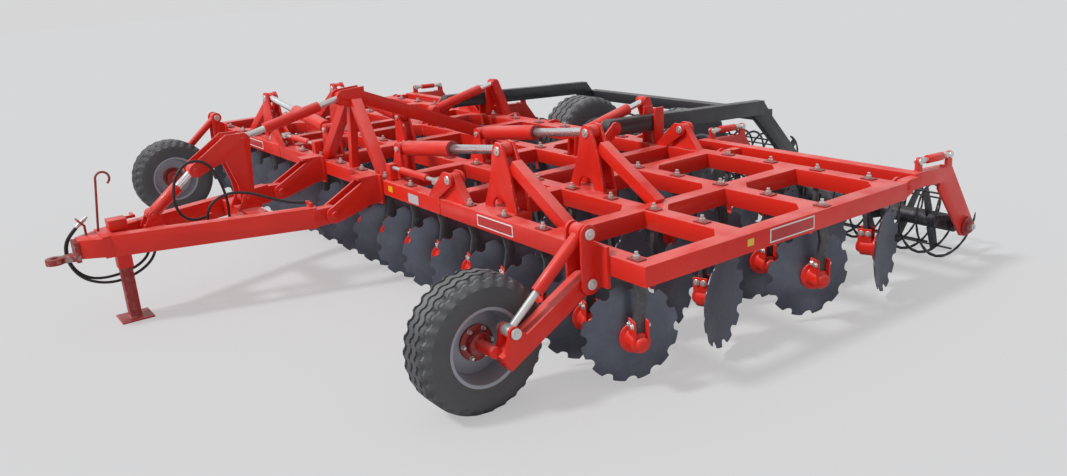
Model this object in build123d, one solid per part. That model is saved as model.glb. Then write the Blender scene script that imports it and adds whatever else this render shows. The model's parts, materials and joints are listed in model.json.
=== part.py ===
from build123d import *
import os
from math import cos, pi, radians, sin, tan

os.makedirs("parts", exist_ok=True)

# Millimetres. X to the machine's left, Y to its rear, Z up from the ground.

# Frame
WIDTH = 7000
CENTRE_WIDTH = 2940
SPLIT_GAP = 10
FRAME_TOP = 770
BEAM = 110
ROW_SPACING = 700
FRONT_Y = -905
GUSSET = 90
PLATE = 20
CLEARANCE = 6
RUNNING_FIT = 0.3

HALF = WIDTH / 2
CENTRE_HALF = CENTRE_WIDTH / 2
WING_INNER = CENTRE_HALF + SPLIT_GAP
FOLD_X = CENTRE_HALF + 140
CENTRE_LONGITUDINALS = [600, CENTRE_HALF - BEAM / 2]
WING_LONGITUDINALS = [FOLD_X + 240, HALF - 825, HALF - BEAM / 2]
FRAME_UNDER = FRAME_TOP - BEAM
ROW_YS = [FRONT_Y + row * ROW_SPACING for row in range(4)]
REAR_Y = ROW_YS[3]

# Disc rows: distance from the left outer face to the first shank, side of the hub's cap
# (+1 left), and the discs on the left wing, the centre section and the right wing
DISC_PITCH = 400
DISC_ROWS = [
    (123, 1, 5, 8, 4),
    (343, -1, 5, 7, 5),
    (60, 1, 5, 8, 5),
    (233, -1, 5, 7, 5),
]
DISC_RADIUS = 280
DISC_FLAT = 90
DISC_DISH = 55
DISC_THICKNESS = 6
DISC_AXIS_Z = 315
NOTCHES = 12
NOTCH_WIDTH = 66
NOTCH_DEPTH = 36
GANG_ANGLE = 20
SHANK_WIDTH = 30
SHANK_DEPTH = 60
SHANK_BOW = 22
HUB_REACH = 78
HUB_FLATS = 6
FLANGE_FLATS = 8
HUB_RADIUS = 54
HUB_LENGTH = 118
FLANGE_RADIUS = 75
FLANGE_THICKNESS = 16
EAR_WIDTH = 90
EAR_THICKNESS = 12
EAR_HEIGHT = 130

# Wing folding
FOLD_Z = FRAME_TOP + 150
FOLD_ROWS = [0, 3]
FOLD_PIN_RADIUS = 25
FOLD_LUG_RADIUS = 45
WING_LUG_WIDTH = 58
CYL_ROWS = [0, 1]
CYL_OFFSET = 130
CYL_BASE = (670, FRAME_TOP + 215)
CYL_EYE = (FOLD_X + 425, FRAME_TOP + 375)
CYL_EYE_RADIUS = 48
CYL_EYE_WIDTH = 60
CYL_NECK_RADIUS = 28
CYL_BARREL_RADIUS = 55
CYL_BARREL_LENGTH = 735
CYL_ROD_RADIUS = 30
CYL_ROD_LENGTH = 695
CYL_PIN_RADIUS = 20
PLATE_GAP = CYL_EYE_WIDTH + 2 * CLEARANCE
CYL_YS = [ROW_YS[row] + CYL_OFFSET for row in CYL_ROWS]
POST_FEET = (545, 735)
LUG_FOOT = 140

# Drawbar and tow eye
DRAWBAR_PIN_X = 529
DRAWBAR_PIN = (FRONT_Y - 444, FRAME_TOP - 194)
DRAWBAR_PIN_RADIUS = 30
DRAWBAR_HEAD = (FRONT_Y - 1960, FRAME_TOP - 190)
EYE = (FRONT_Y - 2225, FRAME_TOP - 245)
EYE_BORE_RADIUS = 25
EYE_RING_RADIUS = 60
EYE_THICKNESS = 40

# Jack
JACK_Y = FRONT_Y - 1800
JACK_SLEEVE = 96
JACK_TUBE = 80
JACK_FOOT = 220

# Levelling linkage, as (y, z) of its pins
CRANK_PIVOT = (FRONT_Y - 889, FRAME_TOP - 68)
CRANK_LINK = (FRONT_Y - 860, FRAME_TOP + 370)
CRANK_CYL = (FRONT_Y - 1227, FRAME_TOP + 205)
GUSSET_PIN = (FRONT_Y - 1560, FRAME_TOP - 60)
MAST_PIN = (FRONT_Y - 22, FRAME_TOP + 562)
CRANK_PIN_RADIUS = 22

# Gauge wheels: 10.0/75-15.3 tyres
WHEEL_RADIUS = 380
WHEEL_WIDTH = 264
RIM_RADIUS = 205
WHEEL_Y = FRONT_Y - 705
ARM_X = HALF - 408
WHEEL_X = ARM_X - 202
ARM_SIZE = 100
ARM_PIVOT = (FRONT_Y - 130, FRAME_TOP - 153)
ARM_TOP_PIN = (FRONT_Y - 132, FRAME_TOP + 120)
SPINDLE_PIN = (FRONT_Y - 618, FRAME_TOP - 292)
ARM_PIN_RADIUS = 26
AXLE_RADIUS = 32

# Rollers
ROLLER_RADIUS = 270
ROLLER_TUBE = 60
ROLLER_BAR = 22
ROLLER_BARS = 8
ROLLER_STARS = 5
ROLLER_STUB = 25
ROLLER_END_GAP = 70
WING_ROLLER_Y = FRONT_Y + 3060
WING_ROLLER_X = (FOLD_X + 40, HALF - 170)
ROLLER_HINGE = (REAR_Y + 105, FRAME_TOP - 36)
ROLLER_HINGE_XS = [FOLD_X + 340, HALF - BEAM / 2]
ROLLER_BEAM = (REAR_Y + 230, REAR_Y + 320)
ROLLER_ARM_PIN = (FRONT_Y + 2763, FRAME_TOP - 60)
TURNBUCKLE_PINS = [(FRONT_Y + 2440, FRAME_TOP + 75), (FRONT_Y + 2790, FRAME_TOP + 60)]
CENTRE_ROLLER_Y = FRONT_Y + 3830
CENTRE_ROLLER_X = (-1170, 1170)
CENTRE_ARM_X = CENTRE_HALF - 220
CENTRE_ARM_PIVOT = (FRONT_Y + 1650, FRAME_TOP + 190)
CENTRE_ARM = (96, 124)
KNEE = (FRONT_Y + 3465, FRAME_TOP + 10)

# Transport axle: a rockshaft behind the frame, its wheels and its lift cylinders
ROCKSHAFT = (REAR_Y + 150, FRAME_TOP - 60)
ROCKSHAFT_RADIUS = 45
AXLE_BRACKET_X = 480
TRANSPORT_RADIUS = 435
TRANSPORT_Y = KNEE[0] - 70 - TRANSPORT_RADIUS
TRANSPORT_WIDTH = 400
TRANSPORT_X = 740
TRANSPORT_RIM = 215
TRANSPORT_AXLE_RADIUS = 40
LIFT_X = CENTRE_ARM_X - 130
LIFT_BASE = (ROW_YS[2] + 5, FRAME_TOP + 150)
LIFT_EYE = (FRONT_Y + 2120, FRAME_TOP + 325)
LIFT_BARREL_RADIUS = 44
LIFT_ROD_RADIUS = 24
LIFT_EYE_WIDTH = 50
LIFT_GAP = LIFT_EYE_WIDTH + 2 * CLEARANCE
LIFT_NECK = 60
LIFT_NECK_RADIUS = 25
LIFT_BARREL_LENGTH = 560
LIFT_ROD_LENGTH = 590
LIFT_PIN_RADIUS = 20
BEARING_XS = (300, 960)
BEARING_THICKNESS = 30

# Hydraulic hoses on the drawbar, their routes point by point, and their ends
HOSE_RADIUS = 10
HOSE_SIDES = 8
FITTING_RADIUS = 14
FITTING_LENGTH = 30
COUPLER_RADIUS = 14
COUPLER_LENGTH = 75
HOSES = {
    "hose_coupler_outer": [
        (-84, -2465, 500), (-84, -2465, 438), (-84, -2500, 372), (-84, -2560, 320), (-84, -2640, 285),
        (-84, -2728, 266),
        (-84, -2815, 268), (-84, -2895, 292), (-84, -2968, 337), (-84, -3020, 408), (-84, -3046, 492),
        (-84, -3044, 580),
        (-84, -3010, 655), (-84, -2950, 705)],
    "hose_coupler_inner": [
        (-112, -2500, 502), (-112, -2500, 440), (-112, -2532, 386), (-112, -2590, 342), (-112, -2668, 316),
        (-112, -2752, 303),
        (-112, -2835, 302), (-112, -2912, 318), (-112, -2978, 362), (-112, -3022, 432), (-112, -3038, 515),
        (-112, -3026, 598),
        (-112, -2982, 663), (-112, -2922, 713)],
    "hose_cylinder": [
        (125, -2118, 650), (125, -2180, 634), (125, -2255, 650), (125, -2306, 706), (125, -2328, 785),
        (125, -2322, 870),
        (125, -2300, 950), (125, -2256, 1015), (125, -2192, 1056), (125, -2116, 1056), (125, -2054, 1014),
        (125, -2012, 944),
        (125, -1984, 860), (125, -1968, 775), (125, -1961, 690), (125, -1966, 612)],
    "hose_drawbar": [
        (200, -2140, 617), (200, -2140, 670), (205, -2118, 730), (215, -2062, 780), (235, -1984, 806),
        (262, -1898, 804),
        (296, -1812, 780), (335, -1730, 742), (378, -1650, 708), (420, -1572, 686), (454, -1502, 680)],
}

# Flats that stand for a circle on bars and cylinders, and on wheels
BAR_SIDES = 20
WHEEL_SIDES = 36


def save(node, *solids):
    export_step(Compound(children=list(solids)), f"parts/{node}.step")


def joined(solids):
    first, *rest = solids
    return first.fuse(*rest).clean() if rest else first


def block(x, y, z):
    """A box from three (low, high) pairs."""
    middle = Pos(sum(x) / 2, sum(y) / 2, sum(z) / 2)
    return middle * Box(abs(x[1] - x[0]), abs(y[1] - y[0]), abs(z[1] - z[0]))


def bar(start, end, width, height):
    """A rectangular bar between two points, its width level."""
    run = Vector(*end) - Vector(*start)
    side = Vector(0, 0, 1).cross(run).normalized()
    plane = Plane(origin=start, x_dir=side, z_dir=run.normalized())
    return extrude(plane * Rectangle(width, height), run.length)


def round_bar(start, end, radius):
    run = Vector(*end) - Vector(*start)
    return extrude(Plane(origin=start, z_dir=run.normalized()) * Circle(radius), run.length)


def rod(start, end, radius, sides=BAR_SIDES):
    """A bar of many flats in place of a round one."""
    run = Vector(*end) - Vector(*start)
    plane = Plane(origin=start, z_dir=run.normalized())
    return extrude(plane * RegularPolygon(radius, sides), run.length)


def turned(place, outline, sides):
    """A wheel-like solid about X from (x, radius) rings, at a (y, z) place."""
    rings = [Plane.YZ.offset(x) * Pos(*place) * RegularPolygon(radius, sides) for x, radius in outline]
    return loft(rings, ruled=True)


def along_x(place, x, radius):
    """A round bar along X through a (y, z) place."""
    return round_bar((min(x), *place), (max(x), *place), radius)


def along_y(place, y, radius):
    """A round bar along Y through an (x, z) place."""
    return round_bar((place[0], min(y), place[1]), (place[0], max(y), place[1]), radius)


def outline(corners, rounds, holes):
    """A flat outline: corners, round ends and holes as (place, radius)."""
    face = Polygon(*corners, align=None)
    for place, radius in rounds:
        face += Pos(*place) * Circle(radius)
    for place, radius in holes:
        face -= Pos(*place) * Circle(radius)
    return face


def side_plate(corners, x, thickness, rounds=(), holes=()):
    """A plate from (y, z) corners, centred at x."""
    return extrude(Plane.YZ.offset(x) * outline(corners, rounds, holes), thickness / 2, both=True)


def cross_plate(corners, y, thickness, rounds=(), holes=()):
    """A plate from (x, z) corners, centred at y."""
    flat = Plane(origin=(0, y, 0), x_dir=(1, 0, 0), z_dir=(0, -1, 0))
    return extrude(flat * outline(corners, rounds, holes), thickness / 2, both=True)


def both_sides(solid):
    return [solid, mirror(solid, about=Plane.YZ)]


def beam_across(x, row):
    return block(x, (ROW_YS[row] - BEAM / 2, ROW_YS[row] + BEAM / 2), (FRAME_UNDER, FRAME_TOP))


def beam_along(x):
    return block((x - BEAM / 2, x + BEAM / 2), (FRONT_Y, REAR_Y), (FRAME_UNDER, FRAME_TOP))


def gussets(inner, outer):
    """Corner plates of the three cells between two beams along the frame."""
    plates = []
    for front, rear in zip(ROW_YS, ROW_YS[1:]):
        for x, y, leg in ((inner + BEAM / 2, front + BEAM / 2, GUSSET),
                          (outer - BEAM / 2, rear - BEAM / 2, -GUSSET)):
            corner = Polygon((x, y), (x + leg, y), (x, y + leg), align=None)
            plates.append(Pos(0, 0, FRAME_TOP - BEAM / 2) * extrude(corner, BEAM / 2, both=True))
    return plates


def toward(start, end, distance):
    """The point that lies a distance from start on the way to end."""
    run = Vector(*end) - Vector(*start)
    return tuple(Vector(*start) + run.normalized() * distance)


# Tool: shank, hub and notched disc. The disc's axis is X before the gang angle turns the
# tool about its upright shank.
def shank():
    half = SHANK_DEPTH / 2
    foot = DISC_AXIS_Z + HUB_RADIUS + 2
    above_ears = DISC_AXIS_Z + EAR_HEIGHT + 5
    knee = (FRAME_UNDER + above_ears) / 2
    outline = [(-half, FRAME_UNDER), (-half + SHANK_BOW, knee), (-half, above_ears), (-half, foot),
               (half, foot), (half, above_ears), (half + SHANK_BOW, knee), (half, FRAME_UNDER)]
    return side_plate(outline, 0, SHANK_WIDTH)


def hub():
    flange = extrude(Plane.YZ * RegularPolygon(FLANGE_RADIUS, FLANGE_FLATS), FLANGE_THICKNESS)
    barrel = extrude(Plane.YZ * RegularPolygon(HUB_RADIUS, HUB_FLATS), HUB_LENGTH)
    made = Pos(-HUB_REACH + RUNNING_FIT, 0, DISC_AXIS_Z) * (flange + barrel)
    for side in (-1, 1):
        front = side * (SHANK_DEPTH / 2 + RUNNING_FIT)
        back = side * (SHANK_DEPTH / 2 + RUNNING_FIT + EAR_THICKNESS)
        made += block((-EAR_WIDTH / 2, EAR_WIDTH / 2), (front, back),
                      (DISC_AXIS_Z, DISC_AXIS_Z + EAR_HEIGHT))
    return made


def dish(offset):
    flat = Plane.YZ.offset(offset) * RegularPolygon(DISC_FLAT, NOTCHES)
    edge = Plane.YZ.offset(offset - DISC_DISH) * RegularPolygon(DISC_RADIUS, NOTCHES)
    return loft([flat, edge], ruled=True)


def disc():
    """A dish of twelve flats whose corners are notched, its hollow side towards -X."""
    made = dish(0) - dish(-DISC_THICKNESS)
    half = NOTCH_WIDTH / 2
    root = DISC_RADIUS - NOTCH_DEPTH
    notch = Plane.YZ.offset(-2 * DISC_DISH) * Polygon((root, 0), (DISC_RADIUS + 5, half),
                                                      (DISC_RADIUS + 5, -half), align=None)
    cutter = extrude(notch, 3 * DISC_DISH)
    cutters = [Rot(360 * n / NOTCHES, 0, 0) * cutter for n in range(NOTCHES)]
    return Pos(-HUB_REACH, 0, DISC_AXIS_Z) * made.cut(*cutters)


def tool(side):
    """Shank, hub and disc with the hub's cap to the left (+1) or to the right (-1)."""
    turn = Rot(0, 0, -GANG_ANGLE) if side > 0 else Rot(0, 0, 180 + GANG_ANGLE)
    return [turn * shank(), turn * hub(), turn * disc()]


TOOLS = {1: tool(1), -1: tool(-1)}


def tools(section):
    """All shanks, hubs and discs of the left wing (0), the centre (1) or the right wing (2)."""
    sets = [[], [], []]
    for y, (first, side, *counts) in zip(ROW_YS, DISC_ROWS):
        before = sum(counts[:section])
        for n in range(before, before + counts[section]):
            place = Pos(HALF - first - DISC_PITCH * n, y, 0)
            for made, piece in zip(sets, TOOLS[side]):
                made.append(place * piece)
    return sets


for section, name in enumerate(("left", "centre", "right")):
    shanks, hubs, discs = tools(section)
    save(f"shanks_{name}", *shanks)
    save(f"hubs_{name}", *hubs)
    save(f"discs_{name}", *discs)


# Centre section: frame with the seats of the fold cylinders and the bearings of the rockshaft
def post_plate(y):
    """One of the two plates that carry a fold cylinder's base."""
    base_x, base_z = CYL_BASE
    corners = [(POST_FEET[0], FRAME_TOP), (POST_FEET[1], FRAME_TOP), (base_x + 44, base_z - 20),
               (base_x - 44, base_z - 20)]
    return cross_plate(corners, y, PLATE, [(CYL_BASE, CYL_EYE_RADIUS)],
                       [(CYL_BASE, CYL_PIN_RADIUS + RUNNING_FIT)])


def lug_plate(y):
    """One of the two centre plates of a wing hinge."""
    corners = [(CENTRE_HALF - LUG_FOOT, FRAME_TOP), (CENTRE_HALF, FRAME_TOP),
               (CENTRE_HALF + 5, FRAME_TOP + 12),
               (FOLD_X + 20, FOLD_Z - 40), (FOLD_X, FOLD_Z + FOLD_LUG_RADIUS),
               (FOLD_X - 60, FOLD_Z + FOLD_LUG_RADIUS)]
    return cross_plate(corners, y, PLATE, [((FOLD_X, FOLD_Z), FOLD_LUG_RADIUS)])


centre = [beam_across((-CENTRE_HALF, CENTRE_HALF), row) for row in range(4)]
inner, outer = CENTRE_LONGITUDINALS
half_centre = [beam_along(inner), beam_along(outer), *gussets(inner, outer)]
for y in CYL_YS:
    half_centre.append(block(POST_FEET, (y - CYL_OFFSET, y + PLATE_GAP / 2 + PLATE),
                             (FRAME_TOP - 60, FRAME_TOP)))
for x in BEARING_XS:
    bearing = [(REAR_Y + BEAM / 2, FRAME_TOP), (REAR_Y + BEAM / 2, FRAME_UNDER),
               (ROCKSHAFT[0], ROCKSHAFT[1] - 75), (ROCKSHAFT[0], ROCKSHAFT[1] + 75)]
    half_centre.append(side_plate(bearing, x, BEARING_THICKNESS, [(ROCKSHAFT, 75)],
                                  [(ROCKSHAFT, ROCKSHAFT_RADIUS + RUNNING_FIT)]))
for solid in half_centre:
    centre += both_sides(solid)
save("centre_frame", joined(centre))

# Plates on the centre section: wing hinges and the fold cylinders' bases, and the pairs that
# carry the roller arms' pivots, guide these arms and hold the lift cylinders' bases
brackets = []
for row in FOLD_ROWS:
    y = ROW_YS[row]
    reach = WING_LUG_WIDTH / 2 + CLEARANCE
    pin = along_y((FOLD_X, FOLD_Z), (y - reach + RUNNING_FIT, y + reach + PLATE + 7), FOLD_PIN_RADIUS)
    brackets += both_sides(lug_plate(y + reach + PLATE / 2) + pin)
    brackets += both_sides(lug_plate(y - reach - PLATE / 2))
for y in CYL_YS:
    for face in (-1, 1):
        brackets += both_sides(post_plate(y + face * (PLATE_GAP + PLATE) / 2))
arm_face = CENTRE_ARM[0] / 2 + CLEARANCE
pivot_y, pivot_z = CENTRE_ARM_PIVOT
lift_y, lift_z = LIFT_BASE
beam_y = ROW_YS[2]
for face in (-1, 1):
    guide = [(REAR_Y - 50, FRAME_TOP), (REAR_Y + 50, FRAME_TOP), (REAR_Y + 55, FRAME_TOP + 290),
             (REAR_Y - 35, FRAME_TOP + 290)]
    carrier = [(beam_y - 50, FRAME_TOP), (beam_y + 50, FRAME_TOP), (pivot_y + 45, pivot_z - 20),
               (pivot_y - 25, pivot_z + 43)]
    lift_lug = [(beam_y - 50, FRAME_TOP), (beam_y + 50, FRAME_TOP), (lift_y + 40, lift_z),
                (lift_y - 40, lift_z)]
    x = CENTRE_ARM_X + face * (arm_face + PLATE / 2)
    guide_plate = side_plate(guide, x, PLATE)
    carrier_plate = side_plate(carrier, x, PLATE, [(CENTRE_ARM_PIVOT, 50)])
    lift_plate = side_plate(lift_lug, LIFT_X + face * (LIFT_GAP + PLATE) / 2, PLATE, [(LIFT_BASE, 42)])
    if face > 0:
        reach = (CENTRE_ARM_X - arm_face + RUNNING_FIT, CENTRE_ARM_X + arm_face + PLATE + 3)
        carrier_plate += along_x(CENTRE_ARM_PIVOT, reach, CRANK_PIN_RADIUS)
        reach = (LIFT_X - LIFT_GAP / 2 + RUNNING_FIT, LIFT_X + LIFT_GAP / 2 + PLATE)
        lift_plate += along_x(LIFT_BASE, reach, LIFT_PIN_RADIUS)
    for plate in (guide_plate, carrier_plate, lift_plate):
        brackets += both_sides(plate)
save("frame_brackets", *brackets)

# Mast: A-frame legs, head plates, middle post and rear stay
MAST_FEET_X = 580
MAST_TOP = (FRONT_Y + 60, FRAME_TOP + 520)
MAST_HEAD_X = 55
head_corners = [(FRONT_Y - 60, FRAME_TOP + 520), (FRONT_Y - 10, FRAME_TOP + 622),
                (FRONT_Y + 150, FRAME_TOP + 630),
                (FRONT_Y + 150, FRAME_TOP + 470), (FRONT_Y - 20, FRAME_TOP + 490)]
mast = [side_plate(head_corners, side * MAST_HEAD_X, 16, [(MAST_PIN, 60)]) for side in (-1, 1)]
mast.append(block((-MAST_HEAD_X, MAST_HEAD_X), (FRONT_Y + 60, FRONT_Y + 140),
                  (FRAME_TOP + 480, FRAME_TOP + 500)))
mast += both_sides(bar((MAST_FEET_X, FRONT_Y + 10, FRAME_UNDER + 50), (75, *MAST_TOP), 80, 80))
mast.append(bar((0, FRONT_Y + 10, FRAME_UNDER + 50), (0, *MAST_TOP), 60, 60))
mast.append(bar((0, FRONT_Y + 120, FRAME_TOP + 550), (0, ROW_YS[2] + 60, FRAME_TOP - 10),
                2 * MAST_HEAD_X - 16, 100))
for side in (-1, 1):
    pin_start = MAST_HEAD_X - 8 - CLEARANCE + RUNNING_FIT
    mast.append(along_x(MAST_PIN, (side * pin_start, side * (MAST_HEAD_X + 20)), CRANK_PIN_RADIUS))
under = block((-CENTRE_HALF, CENTRE_HALF), (FRONT_Y - 200, REAR_Y), (0, FRAME_TOP))
save("mast", joined(mast) - under)

# Hitch brackets: two plate pairs that reach forward and down to the drawbar's pins
pin_y, pin_z = DRAWBAR_PIN
face_y = FRONT_Y - BEAM / 2
neck = [(face_y, FRAME_TOP + 40), (FRONT_Y - 150, FRAME_TOP + 40), (FRONT_Y - 230, FRAME_TOP - 10),
        (pin_y - 40, pin_z + 45),
        (pin_y - 30, pin_z - 50), (pin_y + 40, pin_z - 55), (FRONT_Y - 250, FRAME_TOP - 205),
        (FRONT_Y - 150, FRAME_TOP - 175),
        (face_y, FRAME_TOP - 170)]
hitch = [side_plate(neck, DRAWBAR_PIN_X + face * 62, PLATE, [(DRAWBAR_PIN, 60)]) for face in (-1, 1)]
hitch.append(block((DRAWBAR_PIN_X - 72, DRAWBAR_PIN_X + 72), (FRONT_Y - 230, face_y),
                   (FRAME_TOP + 20, FRAME_TOP + 40)))
hitch.append(block((DRAWBAR_PIN_X - 110, DRAWBAR_PIN_X + 110), (face_y - PLATE, face_y),
                   (FRAME_TOP - 180, FRAME_TOP + 40)))
hitch.append(along_x(DRAWBAR_PIN, (DRAWBAR_PIN_X - 95, DRAWBAR_PIN_X + 95), DRAWBAR_PIN_RADIUS))
save("hitch_brackets", *both_sides(joined(hitch)))

# Drawbar: two converging box beams, head, cross-bars and the plates of the levelling linkage
head_y, head_z = DRAWBAR_HEAD
HEAD_HALF_HEIGHT = 65
CRANK_FOOT_X = 95
GUSSET_FOOT_X = 60
drawbar = []
for side in (-1, 1):
    x = side * DRAWBAR_PIN_X
    eye = side_plate([(pin_y - 150, pin_z - 62), (pin_y - 150, pin_z + 62), (pin_y, pin_z + 62),
                      (pin_y, pin_z - 62)], x, 92, [(DRAWBAR_PIN, 62)])
    drawbar.append(eye - along_x(DRAWBAR_PIN, (x - 100, x + 100), DRAWBAR_PIN_RADIUS + RUNNING_FIT))
    drawbar.append(bar((x, pin_y - 110, pin_z), (side * 110, JACK_Y - 60, head_z), 90, 150))
    crank_foot = [(CRANK_PIVOT[0] - 90, pin_z + 50), (CRANK_PIVOT[0] + 90, pin_z + 50),
                  (CRANK_PIVOT[0] + 50, CRANK_PIVOT[1]), (CRANK_PIVOT[0] - 50, CRANK_PIVOT[1])]
    drawbar.append(side_plate(crank_foot, side * CRANK_FOOT_X, PLATE, [(CRANK_PIVOT, 50)]))
    gusset_foot = [(GUSSET_PIN[0] - 80, head_z + 50), (GUSSET_PIN[0] + 90, head_z + 50),
                   (GUSSET_PIN[0] + 38, GUSSET_PIN[1]), (GUSSET_PIN[0] - 38, GUSSET_PIN[1])]
    drawbar.append(side_plate(gusset_foot, side * GUSSET_FOOT_X, PLATE, [(GUSSET_PIN, 38)]))
drawbar.append(block((-400, 400), (pin_y - 520, pin_y - 420), (pin_z - 50, pin_z + 60)))
drawbar.append(block((-300, 300), (CRANK_PIVOT[0] - 60, CRANK_PIVOT[0] + 60), (pin_z - 40, pin_z + 60)))
drawbar.append(block((-200, 200), (GUSSET_PIN[0] - 60, GUSSET_PIN[0] + 60), (head_z - 50, head_z + 60)))
drawbar.append(block((-150, 150), (JACK_Y - 130, JACK_Y - JACK_SLEEVE / 2), (head_z - 75, head_z + 75)))
head_plan = Polygon((-150, JACK_Y - 130), (150, JACK_Y - 130), (60, head_y - 110), (-60, head_y - 110),
                    align=None)
drawbar.append(Pos(0, 0, head_z) * extrude(head_plan, HEAD_HALF_HEIGHT, both=True))
# Shelves and fittings that the hoses start and end on, ahead of the near beam's hoses
for y in (HOSES["hose_cylinder"][0][1], HOSES["hose_cylinder"][-1][1]):
    near_beam_x = 110 + (DRAWBAR_PIN_X - 110) * (y - JACK_Y + 60) / (pin_y - 110 - JACK_Y + 60)
    drawbar.append(block((100, near_beam_x), (y - 47, y + 33), (575, 587)))
for name, route in HOSES.items():
    drawbar.append(rod(route[0], toward(route[0], route[1], -FITTING_LENGTH), FITTING_RADIUS, 6))
    if "coupler" not in name:
        drawbar.append(rod(route[-1], toward(route[-1], route[-2], -FITTING_LENGTH), FITTING_RADIUS, 6))
fitting_x, fitting_y, fitting_z = HOSES["hose_cylinder"][0]
drawbar.append(block((fitting_x - 10, fitting_x + 10), (fitting_y + 10, fitting_y + 30), (580, fitting_z)))
fitting_x, fitting_y, fitting_z = HOSES["hose_drawbar"][-1]
drawbar.append(block((fitting_x - 10, fitting_x + 60), (fitting_y + 8, fitting_y + 28),
                     (head_z + 50, fitting_z)))
drawbar.append(along_x(CRANK_PIVOT, (-CRANK_FOOT_X - PLATE, CRANK_FOOT_X + PLATE), CRANK_PIN_RADIUS))
drawbar.append(along_x(GUSSET_PIN, (-GUSSET_FOOT_X - PLATE, GUSSET_FOOT_X + PLATE), CRANK_PIN_RADIUS))
sleeve_half = JACK_SLEEVE / 2
jack_well = block((-sleeve_half, sleeve_half), (JACK_Y - sleeve_half, JACK_Y + sleeve_half),
                  (0, 2 * FRAME_TOP))
save("drawbar", joined(drawbar) - jack_well)

# Tow eye: a flanged ring with an upright bore
eye_y, eye_z = EYE
flange_y = head_y - 110
ring = Pos(0, eye_y, eye_z) * (Cylinder(EYE_RING_RADIUS, EYE_THICKNESS) - Cylinder(EYE_BORE_RADIUS,
                                                                                   2 * EYE_THICKNESS))
stem_plan = Polygon((-35, eye_y + 50), (35, eye_y + 50), (60, flange_y - 30), (-60, flange_y - 30),
                    align=None)
stem = Pos(0, 0, eye_z) * extrude(stem_plan, EYE_THICKNESS / 2, both=True)
flange = block((-70, 70), (flange_y - 30, flange_y), (eye_z - 30, head_z + 55))
save("tow_eye", joined([ring, stem, flange]))

# Jack: sleeve with its crank box and handle, and the sliding leg with its foot
SLEEVE_Z = (FRAME_TOP - 390, FRAME_TOP - 105)
LEG_TOP = SLEEVE_Z[1] - 225
CRANK_BOX = 120
HANDLE_RADIUS = 12
leg_half = JACK_TUBE / 2
bore_half = leg_half + RUNNING_FIT
sleeve = block((-sleeve_half, sleeve_half), (JACK_Y - sleeve_half, JACK_Y + sleeve_half), SLEEVE_Z)
sleeve -= block((-bore_half, bore_half), (JACK_Y - bore_half, JACK_Y + bore_half), (0, SLEEVE_Z[1] - 10))
box_half = CRANK_BOX / 2
handle_z = SLEEVE_Z[1] + 35
box = block((-box_half, box_half), (JACK_Y - box_half, JACK_Y + box_half), (SLEEVE_Z[1], SLEEVE_Z[1] + 70))
shaft = rod((-box_half, JACK_Y, handle_z), (-2 * box_half, JACK_Y, handle_z), HANDLE_RADIUS)
lever = block((12 - 2 * box_half, -2 * box_half), (JACK_Y - HANDLE_RADIUS, JACK_Y + 150),
              (handle_z - 10, handle_z + 10))
grip = rod((-2 * box_half, JACK_Y + 140, handle_z), (-2 * box_half - 90, JACK_Y + 140, handle_z),
           HANDLE_RADIUS)
save("jack_sleeve", joined([sleeve, box, shaft, lever, grip]))
leg = block((-leg_half, leg_half), (JACK_Y - leg_half, JACK_Y + leg_half), (8, LEG_TOP))
foot = block((-JACK_FOOT / 2, JACK_FOOT / 2), (JACK_Y - JACK_FOOT / 2, JACK_Y + JACK_FOOT / 2), (0, 12))
save("jack_leg", leg + foot)

# Hose stand: a rod on the drawbar's head with a hook at the top
STAND_RADIUS = 8
STAND_HOOK = 45
STAND_HOOK_ARC = -230
STAND_X = -60
STAND_FOOT = (head_y + 45, head_z + 75 + 1)
STAND_TOP = (STAND_FOOT[0] + 50, FRAME_TOP + 250)
rise = (STAND_TOP[0] - STAND_FOOT[0], STAND_TOP[1] - STAND_FOOT[1])
way = Plane.YZ.offset(STAND_X) * (Line(STAND_FOOT, STAND_TOP) + JernArc(STAND_TOP, rise, STAND_HOOK,
                                                                        STAND_HOOK_ARC))
stand_start = Plane(origin=(STAND_X, *STAND_FOOT), z_dir=(0, *rise))
stand = sweep(stand_start * RegularPolygon(STAND_RADIUS, 8), way)

# Holder of the couplers beside it: a plate that both pass through, on a rod
HOLDER_PLATE = 12
coupler_ends = [HOSES[name][-1] for name in ("hose_coupler_outer", "hose_coupler_inner")]
coupler_way = Vector(*coupler_ends[0]) - Vector(*HOSES["hose_coupler_outer"][-2])
coupler_way = coupler_way.normalized()
couplers = []
holder_at = Vector(*coupler_ends[0]) + coupler_way * COUPLER_LENGTH / 2 + Vector(-11, 0, 0)
holder_plane = Plane(origin=holder_at, x_dir=(1, 0, 0), z_dir=coupler_way)
holder = extrude(holder_plane * Rectangle(92, 62), HOLDER_PLATE)
for end in coupler_ends:
    start = Vector(*end)
    couplers.append(extrude(Plane(origin=start, z_dir=coupler_way) * Circle(COUPLER_RADIUS),
                            COUPLER_LENGTH))
    holder -= extrude(Plane(origin=start, z_dir=coupler_way) * Circle(COUPLER_RADIUS + RUNNING_FIT),
                      2 * COUPLER_LENGTH)
foot = (STAND_X, holder_at.Y + 22, head_z + HEAD_HALF_HEIGHT)
holder += rod(foot, (foot[0], foot[1], holder_at.Z - 12), STAND_RADIUS)
save("hose_stand", stand, holder)
save("hose_couplers", *couplers)


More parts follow.
